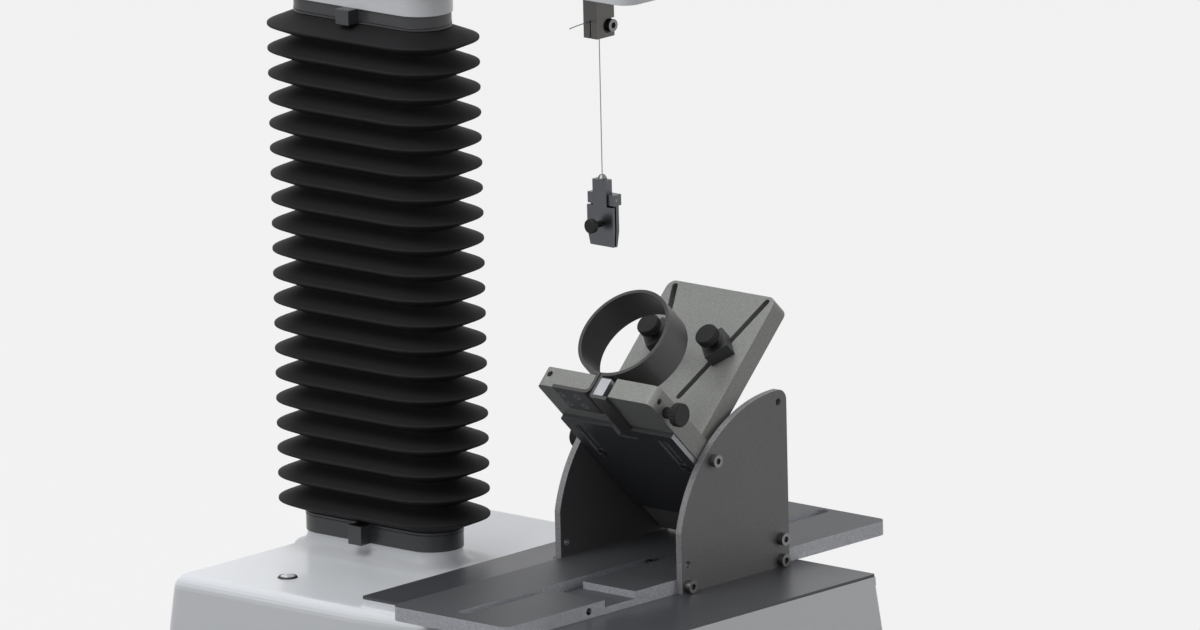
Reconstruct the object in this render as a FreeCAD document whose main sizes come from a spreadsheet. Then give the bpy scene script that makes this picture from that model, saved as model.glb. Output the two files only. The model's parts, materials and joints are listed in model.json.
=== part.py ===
import FreeCAD, Part
import math
import os
import re
import Sketcher

# Peel test rig: a single column bench tester that carries a film clamp on a wire over a tilting
# peel fixture. Millimetres, +Z up. The origin is where the load line meets the top of the stage,
# +X runs across the machine and -Y is its front.

doc = FreeCAD.newDocument("PeelTestRig")
sheet = doc.addObject("Spreadsheet::Sheet", "Sizes")

# Driving dimensions
SIZES = [
    # Base and stage
    ("base_half_wide", 129.5, "half width of the base at its top"),
    ("base_front", 126.6, "load line to the front edge"),
    ("stage_rear", 112.6, "load line to the rear edge of the stage"),
    ("base_rear", 273, "load line to the rear edge of the base"),
    ("base_tall", 105, "stage top down to the underside of the casing"),
    ("wall_lean", 5.3, "lean of the base walls, degrees"),
    ("shoulder", 11, "stage edge out to the sharp corner of the base wall"),
    ("front_shoulder", 1, "the same at the front of the base"),
    ("wall", 3.5, "moulded wall"),
    ("stage_thick", 2, "stage plate"),
    ("rear_drop", 7, "stage top down to the rear deck"),
    ("corner_round", 11, "upright corners of the base"),
    ("edge_round", 10, "rear and side edges of the base"),
    ("front_edge_round", 2, "side edges of the base at its front"),
    ("step_round", 3, "inside corner of the step behind the stage"),
    ("foot_tall", 10, "rubber feet"),
    ("foot_radius", 14, "rubber feet"),
    ("foot_inset", 26, "feet in from the edges"),
    ("floor_thick", 2.5, "bottom cover"),
    ("bed_thick", 12, "stage bed under the deck"),
    ("level_radius", 7, "spirit level"),
    ("level_inset", 31, "side of the base to the spirit level"),
    ("level_back", 210, "load line to the spirit level"),
    ("floor_screw_radius", 2, "screws of the floor"),
    ("hold_radius", 3, "hold-down screws"),
    ("hold_first", 40, "load line to the first hold-down screw"),
    ("hold_second", 85, "load line to the second hold-down screw"),
    ("inlet_left", 60, "load line to the power inlet"),
    ("inlet_wide", 30, "power inlet"),
    ("inlet_tall", 24, "power inlet"),
    ("inlet_low", -85, "stage top to the underside of the power inlet"),
    # Column
    ("column_back", 209, "load line to the column's middle"),
    ("column_run", 45, "half distance between the round ends of the column"),
    ("neck_radius", 20.2, "round ends of the white neck"),
    ("neck_tall", 10, "neck above the rear deck"),
    ("neck_flare", 9, "flare at the foot of the neck"),
    ("spigot_radius", 18.8, "spigots that the bellows are clamped to"),
    ("spigot_wall", 1.5, "spigots"),
    ("sheet_wall", 1.2, "bellows sheet"),
    ("band_thick", 1.1, "clamp bands"),
    ("band_tall", 13.4, "band at the foot"),
    ("skirt_band_tall", 10.4, "band under the skirt"),
    ("tab_wide", 12, "screw box of a band"),
    ("tab_deep", 10, "screw box of a band"),
    ("pleat_pitch", 17.65, "bellows"),
    ("pleat_count", 20, "lower bellows"),
    ("upper_pleat_count", 4, "upper bellows"),
    ("pleat_depth", 19.4, "bellows"),
    ("rim_thick", 2.4, "outer rim of a pleat"),
    ("beam_radius", 16.3, "round back of the column beam"),
    ("beam_front", 22, "column middle back to the face of the beam"),
    ("rail_wide", 7, "guide rails"),
    ("rail_deep", 6, "guide rails"),
    ("rail_apart", 18, "guide rails"),
    ("screw_radius", 6, "lead screw"),
    ("screw_ahead", 9, "lead screw in front of the column's middle"),
    ("nut_radius", 9, "lead screw nut"),
    ("bearing_radius", 11, "lead screw bearings"),
    ("foot_plate_thick", 8, "column foot"),
    ("motor_wide", 42, "drive motor"),
    ("motor_tall", 40, "drive motor"),
    ("running_gap", 0.05, "between a shaft and its hole"),
    ("seat_gap", 0.1, "between a moulding and what sits in it"),
    # Arm
    ("skirt_radius", 22.2, "round ends of the skirt below the arm"),
    ("skirt_tall", 36.5, "skirt below the arm"),
    ("boss_radius", 5, "screw bosses in the casing"),
    ("arm_half_wide", 34, "arm"),
    ("arm_front", 57, "load line to the front of the arm"),
    ("arm_rear", 76, "column middle to the rear of the arm"),
    ("arm_tall", 86, "arm with its lid"),
    ("arm_corner", 12, "upright corners of the arm"),
    ("lid_tall", 8, "arm lid"),
    ("cap_tall", 26, "top cap"),
    ("cap_radius", 41, "round ends of the top cap"),
    ("cell_half_wide", 11, "load cell"),
    ("cell_tall", 14, "load cell"),
    ("cell_long", 84, "load cell"),
    # Adaptor, wire and film clamp
    ("adaptor_wide", 17.7, "adaptor across X"),
    ("adaptor_deep", 12.3, "adaptor across Y"),
    ("adaptor_drop", 33.5, "adaptor below the arm"),
    ("slit", 0.9, "slit that grips the wire"),
    ("wire_radius", 0.35, "wire"),
    ("wire_long", 104.2, "hanging wire between its two ends"),
    ("tail_rise", 11.7, "adaptor underside up to the wire's free end"),
    ("tail_long", 21, "free end of the wire outside the adaptor"),
    ("tail_bend", 2, "bend of the free end"),
    ("clamp_half_wide", 11.65, "jaws of the film clamp"),
    ("jaw_tall", 28, "jaws of the film clamp"),
    ("jaw_bevel_tall", 11, "bevelled lip of the jaws"),
    ("front_jaw_thick", 2.3, "front jaw"),
    ("rear_jaw_thick", 2.8, "rear jaw"),
    ("jaw_gap", 1.4, "between the jaws"),
    ("clamp_neck_wide", 12.5, "neck of the clamp"),
    ("clamp_neck_deep", 6, "neck of the clamp"),
    ("clamp_neck_tall", 18.5, "neck of the clamp"),
    ("nipple_tall", 3.1, "nipple on the neck"),
    ("nipple_radius", 3.2, "nipple on the neck"),
    ("ear_tall", 7.6, "cross bar of the rear jaw"),
    ("ear_deep", 7.2, "cross bar of the rear jaw"),
    ("clamp_knob_radius", 5, "thumb knob of the clamp"),
    ("clamp_knob_drop", 12.3, "jaw top down to the knob's screw"),
    # Peel fixture
    ("fixture_shift", 3, "load line back to the fixture's middle, towards the front"),
    ("plate_left", 168.8, "load line to the left end of the long plate"),
    ("plate_right", 222.9, "load line to the right end of the long plate"),
    ("plate_thick", 10, "long plate"),
    ("plate_wide", 106, "long plate"),
    ("plate_corner", 7, "upright corners of the long plate"),
    ("slot_wide", 10.5, "long slot"),
    ("slot_ledge", 3, "ledge at the bottom of the long slot"),
    ("slot_narrow", 6.8, "long slot below its ledge"),
    ("slot_end_left", 13, "left end of the plate to the slot"),
    ("slot_end_right", 3.4, "right end of the plate to the slot"),
    ("channel_left", 68.7, "load line to the left side of the cross channel"),
    ("channel_wide", 31, "cross channel"),
    ("channel_deep", 5, "cross channel"),
    ("pivot_right", 106.8, "load line to the pivot"),
    ("pivot_above", 9.8, "long plate's top up to the pivot"),
    ("side_thick", 5, "side plates"),
    ("hole_pitch", 96, "pivot to the locking holes"),
    ("side_margin", 8.5, "locking holes to the edge of the side plate"),
    ("side_step", 2.5, "outer arc of the side plates in to their left edge"),
    ("bolt_radius", 2.5, "M5 screws"),
    ("bolt_head_radius", 4.35, "M5 screws"),
    ("bolt_head_tall", 5, "M5 screws"),
    ("bolt_grip", 14, "M5 screws below the side plate"),
    ("tilt_rest", 45, "tilt of the block, degrees"),
    ("block_thick", 15, "tilt block"),
    ("block_below", 5.5, "pivot to the underside of the block"),
    ("block_long", 170.8, "pivot to the outer end of the block"),
    ("block_heel", 8.5, "pivot to the lower end of the block"),
    ("block_gap", 1, "tilt block to each side plate"),
    ("fork_root", 50, "pivot to the root of the fork"),
    ("right_bar_wide", 38.5, "right bar of the fork"),
    ("bar_round", 5, "outer corners of the fork's ends"),
    ("slide_thick", 3.7, "slide plate"),
    ("slide_low", 28, "pivot to the lower end of the slide plate"),
    ("slide_inset", 35.3, "end of the block to the slide plate"),
    ("slide_gap", 1.1, "strap foot under the jaw to the slide plate's notch"),
    ("slide_wide", 102, "slide plate"),
    ("slide_slot_wide", 9.4, "slots of the slide plate"),
    ("slide_slot_apart", 76, "slots of the slide plate"),
    ("slide_slot_inset", 6, "upper end of the slide plate to its slots"),
    ("slide_slot_long", 39.5, "slots of the slide plate"),
    ("slide_screw_up", 6, "lower end of the slots to the clamping screws"),
    ("glide_gap", 0.1, "between sliding faces"),
    ("upright_inset", 61.8, "end of the block to the face of the upright"),
    ("upright_thick", 15, "upright"),
    ("upright_top", 125, "pivot line to the top of the upright"),
    ("upright_wide", 98, "upright"),
    ("upright_corner", 6.5, "top corners of the upright"),
    ("vee_slot_wide", 4.6, "slots of the upright"),
    ("vee_top_out", 42, "middle of the upright to the top of a slot"),
    ("vee_low_out", 12.7, "middle of the upright to the bottom of a slot"),
    ("vee_top", 120.6, "pivot line to the top of a slot"),
    ("vee_low", 37.2, "pivot line to the bottom of a slot"),
    ("peg_height", 77, "pivot line to the pegs"),
    ("peg_side", 18, "peg blocks"),
    ("peg_deep", 11, "peg blocks"),
    ("peg_knob_out", 22, "upright to the outer face of a peg knob"),
    ("peg_stud_radius", 2, "peg studs"),
    ("peg_nut_side", 9, "peg nuts"),
    ("peg_nut_thick", 3.2, "peg nuts"),
    ("knob_radius", 8.3, "thumb knobs"),
    ("knob_thick", 6, "thumb knobs"),
    ("flute_count", 24, "flutes of a knob"),
    ("strap_thick", 2.5, "strap"),
    ("strap_wide", 26.5, "strap"),
    ("strap_gap", 1, "between the strap's legs"),
    ("hoop_radius", 35.5, "outside of the strap's hoop"),
    ("left_foot_long", 34, "strap foot under the left bar"),
    ("strap_bend", 3, "inside of the bend under the left bar"),
    ("strap_screw_first", 8.8, "end of the block to the first strap screws"),
    ("strap_screw_second", 19.8, "end of the block to the second strap screws"),
    ("side_hole_inset", 7.2, "end of the block to the cross hole"),
    ("right_foot_wide", 15.5, "strap foot under the jaw"),
    ("right_foot_long", 45, "strap foot under the jaw"),
    ("strap_jaw_deep", 8.7, "strap jaw"),
    ("strap_jaw_long", 24.8, "strap jaw"),
    ("jaw_knob_inset", 17.8, "end of the block to the jaw knob"),
    ("jaw_knob_out", 8.9, "bar to the jaw knob"),
    ("jaw_screw_radius", 2, "jaw screw"),
]


def fill_sheet():
    """Writes each driving dimension to its own row: name, value, note."""
    for row, (alias, value, note) in enumerate(SIZES, start=1):
        sheet.set("A%d" % row, alias)
        sheet.set("B%d" % row, str(value))
        sheet.setAlias("B%d" % row, alias)
        sheet.set("C%d" % row, note)
    doc.recompute()


fill_sheet()
ALIASES = {alias for alias, value, note in SIZES}

# Sizes that follow from the driving ones, as expressions
DERIVED = {
    "deck": "-rear_drop",
    "wall_foot": "(base_tall - rear_drop) * tan(wall_lean)",
    "round_reach": "edge_round / tan(45 + wall_lean / 2)",
    "rear_corner": "base_rear + round_reach",
    "front_foot": "base_front + (base_tall - stage_thick) * tan(wall_lean)",
    "casing_half": "base_half_wide + shoulder",
    "inside_front": "base_front - wall",
    "inside_half_front": "base_half_wide + front_shoulder - wall",
    "inside_half_rear": "casing_half - wall",
    "inside_rear": "rear_corner - wall",
    "ledge": "deck - edge_round",
    "ledge_spread": "(edge_round + wall) * tan(wall_lean)",
    "floor_half": "inside_half_front + wall_foot - 6 * seat_gap",
    "floor_front": "-(inside_front + wall_foot - 6 * seat_gap)",
    "floor_rear": "inside_rear + wall_foot - 6 * seat_gap",
    "floor_top": "floor_thick - base_tall",
    "level_left": "base_half_wide - level_inset",
    "neck_top": "neck_tall - rear_drop",
    "band_radius": "spigot_radius + sheet_wall",
    "pleat_low": "neck_top + band_tall",
    "pleat_high": "pleat_low + pleat_pitch * pleat_count",
    "skirt_low": "pleat_high + skirt_band_tall",
    "arm_low": "skirt_low + skirt_tall",
    "arm_top": "arm_low + arm_tall",
    "upper_low": "arm_top + skirt_band_tall",
    "upper_high": "upper_low + pleat_pitch * upper_pleat_count",
    "cap_low": "upper_high + skirt_band_tall",
    "beam_top": "cap_low + cap_tall / 2",
    "screw_y": "column_back - screw_ahead",
    "foot_plate_low": "deck - wall - foot_plate_thick",
    "screw_low": "foot_plate_low - 11.5",
    "motor_top": "screw_low - 11",
    "head_top": "cap_low + 5",
    "carriage_low": "arm_low + 10",
    "carriage_high": "carriage_low + 60",
    "carriage_front": "screw_y - 12",
    "rail_front": "column_back + beam_front - rail_deep",
    "adaptor_low": "arm_low - adaptor_drop",
    "cell_low": "arm_low + wall + 6",
    "cell_high": "cell_low + cell_tall",
    "wire_top": "adaptor_low + 2",
    "wire_low": "wire_top - wire_long",
    "nipple_top": "wire_low + 6",
    "clamp_neck_top": "nipple_top - nipple_tall",
    "clamp_jaw_top": "clamp_neck_top - clamp_neck_tall",
    "clamp_jaw_low": "clamp_jaw_top - jaw_tall",
    "clamp_front": "-(front_jaw_thick + jaw_gap / 2 + 0.3)",
    "rear_jaw_front": "clamp_front + front_jaw_thick + jaw_gap",
    "clamp_pin_z": "clamp_jaw_top + 1 + ear_tall / 2",
    "clamp_screw_z": "clamp_jaw_top - clamp_knob_drop",
    "middle": "-fixture_shift",
    "plate_half": "plate_wide / 2",
    "pivot_z": "plate_thick + pivot_above",
    "screw_drop": "pivot_above + plate_thick / 2",
    "side_arc": "hole_pitch + side_margin",
    "side_left": "side_arc - side_step",
    "block_half": "plate_half - block_gap",
    "block_top": "block_thick - block_below",
    "near_side": "middle - plate_half - side_thick",
    "far_side": "middle + plate_half + side_thick",
    "bar_face": "middle - block_half",
    "hoop_z": "block_top + hoop_radius + 0.3",
    "left_leg": "strap_gap / 2 + strap_thick",
    "strip_low": "-(block_below + seat_gap + strap_thick)",
    "upright_face": "block_long - upright_inset",
    "slide_high": "block_long - slide_inset",
    "slide_slot_high": "slide_high - slide_slot_inset",
    "slide_slot_low": "slide_slot_high - slide_slot_long",
    "slide_screw_at": "slide_slot_low + slide_screw_up",
    "jaw_knob_at": "block_long - jaw_knob_inset",
    "fork_right": "middle - block_half + right_bar_wide",
    "jaw_front": "-left_leg - strap_jaw_deep",
    "slide_top": "-(block_below + glide_gap)",
    "slide_under": "slide_top - slide_thick",
    "upright_low": "block_top + glide_gap",
    "peg_out": "vee_low_out + (vee_top_out - vee_low_out) * (peg_height - vee_low) / (vee_top - vee_low)",
}


def spelled(text):
    """An expression with each derived size written out in driving ones."""
    while True:
        longer = re.sub(r"[a-z_]+", lambda word: "(%s)" % DERIVED[word.group()]
                        if word.group() in DERIVED else word.group(), text)
        if longer == text:
            return text
        text = longer


def bound(text):
    """The same expression as the document's objects read it, from the sheet."""
    return re.sub(r"[a-z_]+", lambda word: "Sizes." + word.group()
                  if word.group() in ALIASES else word.group(), spelled(str(text)))


def num(text):
    """The value of an expression."""
    return float(sheet.evalExpression(spelled(str(text))))


def bind(thing, **sizes):
    """Ties an object's properties to expressions."""
    for name, text in sizes.items():
        thing.setExpression(name, bound(text))
    return thing


def put(thing, x="0", y="0", z="0", axis=None, angle="0"):
    """Places an object, with its place tied to expressions."""
    if axis:
        thing.Placement = FreeCAD.Placement(FreeCAD.Vector(), FreeCAD.Rotation(axis, num(angle)))
        thing.setExpression("Placement.Rotation.Angle", bound(angle))
    for name, text in (("x", x), ("y", y), ("z", z)):
        thing.setExpression("Placement.Base." + name, bound(text))
    return thing


X_AXIS = FreeCAD.Vector(1, 0, 0)
Y_AXIS = FreeCAD.Vector(0, 1, 0)
Z_AXIS = FreeCAD.Vector(0, 0, 1)
LIE_DOWN = {"X": (Y_AXIS, "90"), "Y": (X_AXIS, "-90"), "Z": (None, "0")}
PARTS = []


def minus(high, low):
    return "(%s) - (%s)" % (high, low)


def box(name, x, y, z):
    """A block between two corners, each side given as a pair of expressions."""
    block = doc.addObject("Part::Box", name)
    bind(block, Length=minus(x[1], x[0]), Width=minus(y[1], y[0]), Height=minus(z[1], z[0]))
    return put(block, x[0], y[0], z[0])


def along(thing, axis, start, centre):
    """Lays a turned piece along an axis, from start, with its centre in the other two directions."""
    spots = list(centre)
    spots.insert("XYZ".index(axis), start)
    turn, angle = LIE_DOWN[axis]
    return put(thing, spots[0], spots[1], spots[2], turn, angle)


def rod(name, radius, axis, span, centre=("0", "0")):
    """A cylinder along an axis between two places."""
    bar = doc.addObject("Part::Cylinder", name)
    bind(bar, Radius=radius, Height=minus(span[1], span[0]))
    return along(bar, axis, span[0], centre)


def cone(name, low_radius, high_radius, axis, span, centre=("0", "0")):
    """A cone along an axis between two places."""
    bar = doc.addObject("Part::Cone", name)
    bind(bar, Radius1=low_radius, Radius2=high_radius, Height=minus(span[1], span[0]))
    return along(bar, axis, span[0], centre)


def hexagon(name, radius, axis, span, centre=("0", "0")):
    """A hexagonal socket along an axis between two places."""
    bar = doc.addObject("Part::Prism", name)
    bar.Polygon = 6
    bind(bar, Circumradius=radius, Height=minus(span[1], span[0]))
    return along(bar, axis, span[0], centre)


def taper(name, z, low, high):
    """A block between two level rectangles, each a pair of x and a pair of y expressions."""
    block = doc.addObject("Part::Wedge", name)
    bind(block, Ymin=z[0], Ymax=z[1], Xmin=low[0][0], Xmax=low[0][1], X2min=high[0][0], X2max=high[0][1])
    bind(block, Zmin="-(%s)" % low[1][1], Zmax="-(%s)" % low[1][0])
    bind(block, Z2min="-(%s)" % high[1][1], Z2max="-(%s)" % high[1][0])
    return put(block, axis=X_AXIS, angle="90")


def fuse(name, *pieces):
    whole = doc.addObject("Part::MultiFuse", name)
    whole.Shapes = list(pieces)
    whole.Refine = True
    return whole


def cut(name, base, *tools):
    """Takes tools away from base."""
    rest = doc.addObject("Part::Cut", name)
    rest.Base = base
    rest.Tool = tools[0] if len(tools) == 1 else fuse(name + "_tools", *tools)
    return rest


def common(name, first, second):
    shared = doc.addObject("Part::Common", name)
    shared.Base = first
    shared.Tool = second
    return shared


def group(name, *pieces):
    """Separate solids that share one node."""
    several = doc.addObject("Part::Compound", name)
    several.Links = list(pieces)
    return several


def slot(name, radius, z, ends, across="0"):
    """An upright slot along X with round ends centred on a pair of places."""
    middle_box = box(name + "_run", ends,
                     ("(%s) - (%s)" % (across, radius), "(%s) + (%s)" % (across, radius)), z)
    caps = [rod(name + "_end%d" % i, radius, "Z", z, (end, across)) for i, end in enumerate(ends)]
    return fuse(name, middle_box, *caps)


def stadium(name, radius, z):
    """An upright solid with the column's plan: a run along Y with round ends."""
    ends = ("column_back - column_run", "column_back + column_run")
    middle_box = box(name + "_run", ("-(%s)" % radius, radius), ends, z)
    caps = [rod(name + "_end%d" % i, radius, "Z", z, ("0", end)) for i, end in enumerate(ends)]
    return fuse(name, middle_box, *caps)


def keep(thing, label):
    """Makes an object one of the rig's sub-parts."""
    thing.Label = label
    PARTS.append(thing)
    return thing


def keep_tilted(thing, label):
    """A sub-part of the tilting block: drawn level about the pivot, then turned up."""
    put(thing, "pivot_right", "0", "pivot_z", Y_AXIS, "tilt_rest")
    return keep(thing, label)


def outline(body, plane_role, offset, corners):
    """A closed sketch through corners (x, y). A corner (x, y, centre x, centre y, radius) starts an arc
    that runs anticlockwise to the next corner."""
    drawing = body.newObject("Sketcher::SketchObject", body.Name + "_outline")
    plane = [feature for feature in body.Origin.OriginFeatures if feature.Role == plane_role][0]
    drawing.AttachmentSupport = [(plane, "")]
    drawing.MapMode = "FlatFace"
    drawing.setExpression("AttachmentOffset.Base.z", bound(offset))
    spots = [FreeCAD.Vector(num(corner[0]), num(corner[1]), 0) for corner in corners]
    for i, corner in enumerate(corners):
        start = spots[i]
        end = spots[(i + 1) % len(corners)]
        if len(corner) == 2:
            drawing.addGeometry(Part.LineSegment(start, end))
            continue
        centre = FreeCAD.Vector(num(corner[2]), num(corner[3]), 0)
        circle = Part.Circle(centre, Z_AXIS, num(corner[4]))
        first = math.atan2(start.y - centre.y, start.x - centre.x)
        last = math.atan2(end.y - centre.y, end.x - centre.x)
        if last < first:
            last += 2 * math.pi
        drawing.addGeometry(Part.ArcOfCircle(circle, first, last))
    for i, corner in enumerate(corners):
        after = (i + 1) % len(corners)
        drawing.addConstraint(Sketcher.Constraint("Coincident", i, 2, after, 1))
        for kind, text in (("DistanceX", corner[0]), ("DistanceY", corner[1])):
            number = drawing.addConstraint(Sketcher.Constraint(kind, i, 1, num(text)))
            drawing.setExpression("Constraints[%d]" % number, bound(text))
        if len(corner) > 2:
            number = drawing.addConstraint(Sketcher.Constraint("Radius", i, num(corner[4])))
            drawing.setExpression("Constraints[%d]" % number, bound(corner[4]))
    return drawing


def pad(body, drawing, length):
    """Pads a sketch along its normal."""
    solid = body.newObject("PartDesign::Pad", body.Name + "_pad")
    solid.Profile = drawing
    bind(solid, Length=length)
    body.Tip = solid
    return solid


def new_body(name):
    return doc.addObject("PartDesign::Body", name)


def cap_screw(name, axis, seat, outward, grip, centre):
    """A socket head screw: the head stands on seat, outward is +1 or -1 along the axis."""
    if outward > 0:
        head_span = (seat, "(%s) + bolt_head_tall" % seat)
        shank_span = ("(%s) - (%s)" % (seat, grip), "(%s) + bolt_head_tall / 2" % seat)
        socket_span = ("(%s) + bolt_head_tall * 0.45" % seat, "(%s) + bolt_head_tall + 1" % seat)
    else:
        head_span = ("(%s) - bolt_head_tall" % seat, seat)
        shank_span = ("(%s) - bolt_head_tall / 2" % seat, "(%s) + (%s)" % (seat, grip))
        socket_span = ("(%s) - bolt_head_tall - 1" % seat, "(%s) - bolt_head_tall * 0.45" % seat)
    head = rod(name + "_head", "bolt_head_radius", axis, head_span, centre)
    shank = rod(name + "_shank", "bolt_radius", axis, shank_span, centre)
    socket = hexagon(name + "_socket", "bolt_radius * 0.92", axis, socket_span, centre)
    return cut(name, fuse(name + "_blank", head, shank), socket)


def rounded(name, x, y, z, radius):
    """An upright block with round corners."""
    inner_x = ("(%s) + (%s)" % (x[0], radius), "(%s) - (%s)" % (x[1], radius))
    inner_y = ("(%s) + (%s)" % (y[0], radius), "(%s) - (%s)" % (y[1], radius))
    pieces = [box(name + "_across", x, inner_y, z), box(name + "_along", inner_x, y, z)]
    for i, spot in enumerate((a, b) for a in inner_x for b in inner_y):
        pieces.append(rod(name + "_corner%d" % i, radius, "Z", z, spot))
    return fuse(name, *pieces)


def either_side(text):
    """An expression and its mirror image."""
    return ("-(%s)" % text, text)


def about(centre, half):
    """Two places the same distance either side of a centre."""
    return ("(%s) - (%s)" % (centre, half), "(%s) + (%s)" % (centre, half))


def shaped(name, shape):
    """An object whose shape is built by Part's own functions from the sheet's sizes."""
    feature = doc.addObject("Part::Feature", name)
    feature.Shape = shape
    return feature


def stadium_wire(radius, z):
    """The column's plan as a wire."""
    low = num("column_back - column_run")
    high = num("column_back + column_run")
    spots = {
        "right_low": FreeCAD.Vector(radius, low, z),
        "right_high": FreeCAD.Vector(radius, high, z),
        "left_low": FreeCAD.Vector(-radius, low, z),
        "left_high": FreeCAD.Vector(-radius, high, z),
    }
    rear = Part.Arc(spots["right_high"], FreeCAD.Vector(0, high + radius, z), spots["left_high"])
    front = Part.Arc(spots["left_low"], FreeCAD.Vector(0, low - radius, z), spots["right_low"])
    edges = [Part.LineSegment(spots["right_low"], spots["right_high"]), rear,
             Part.LineSegment(spots["left_high"], spots["left_low"]), front]
    return Part.Wire([edge.toShape() for edge in edges])


def stadium_stack(rings):
    """A solid through rings of the column's plan, each a radius and a height."""
    return Part.makeLoft([stadium_wire(radius, z) for radius, z in rings], True, True)


# Base
def rounded_wire(corners):
    """A closed wire through corners (point, radius), with an arc at each corner."""
    edges = []
    arcs = []
    for i, (point, radius) in enumerate(corners):
        back = (corners[i - 1][0] - point).normalize()
        ahead = (corners[(i + 1) % len(corners)][0] - point).normalize()
        half = back.getAngle(ahead) / 2
        reach = radius / math.tan(half)
        centre = point + (back + ahead).normalize() * (radius / math.sin(half))
        middle = centre + (point - centre).normalize() * radius
        arcs.append((point + back * reach, middle, point + ahead * reach))
    for i, (first, middle, last) in enumerate(arcs):
        edges.append(Part.Arc(first, middle, last).toShape())
        edges.append(Part.LineSegment(last, arcs[(i + 1) % len(arcs)][0]).toShape())
    return Part.Wire(edges)


def casing_ring(front, rear):
    """The base's plan: front and rear are each a half width, a y, a corner radius and a height."""
    shoulder_y = num("stage_rear")
    spots = [
        (-front[0], front[1], front[3], front[2]),
        (front[0], front[1], front[3], front[2]),
        (rear[0], shoulder_y, rear[3], 0.5),
        (rear[0], rear[1], rear[3], rear[2]),
        (-rear[0], rear[1], rear[3], rear[2]),
        (-rear[0], shoulder_y, rear[3], 0.5),
    ]
    return rounded_wire([(FreeCAD.Vector(x, y, z), radius) for x, y, z, radius in spots])


def make_casing_body():
    """The outside of the base: leaning walls under a rounded edge that dies out towards the front."""
    lean = num("wall_lean")
    deck = num("deck")
    spread = num("wall_foot")
    half_front = num("base_half_wide + front_shoulder")
    half_rear = num("casing_half")
    rear_y = num("rear_corner")

    def front_y(z):
        return -num("base_front") - (num("-stage_thick") - z) * math.tan(math.radians(lean))

    low = num("-base_tall")
    corner = num("corner_round")
    rings = [casing_ring((half_front + spread, front_y(low), 3, low),
                         (half_rear + spread, rear_y + spread, corner, low))]
    steps = 6
    for i in range(steps + 1):
        turn = math.radians(lean + (90 - lean) * i / steps)
        places = []
        for radius in (num("front_edge_round"), num("edge_round")):
            reach = radius / math.tan(math.radians(45 + lean / 2))
            places.append((radius * math.cos(turn) - reach, deck - radius + radius * math.sin(turn)))
        (front_out, front_z), (rear_out, rear_z) = places
        rings.append(casing_ring((half_front + front_out, front_y(front_z), 3, front_z),
                                 (half_rear + rear_out, rear_y + rear_out, min(corner, corner + rear_out),
                                  rear_z)))
    outside = shaped("casing_body", Part.makeLoft(rings, True, True))
    plinth = taper("casing_plinth", ("deck - 1", "-stage_thick"),
                   (either_side("base_half_wide"),
                    ("-base_front - (1 + rear_drop - stage_thick) * tan(wall_lean)", "stage_rear")),
                   (either_side("base_half_wide"), ("-base_front", "stage_rear")))
    strip = box("casing_step", either_side("base_half_wide"), ("stage_rear - 1", "stage_rear + step_round"),
                ("deck - 1", "deck + step_round"))
    hollow = rod("casing_step_round", "step_round", "X", either_side("base_half_wide + 1"),
                 ("stage_rear + step_round", "deck + step_round"))
    return outside, plinth, cut("casing_step_rest", strip, hollow)


def boss_spots():
    """Where the floor is screwed to the casing."""
    across = either_side("floor_half - 13")
    return [(x, y) for x in across for y in ("floor_front + 14", "stage_rear - 40", "floor_rear - 24")]


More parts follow.
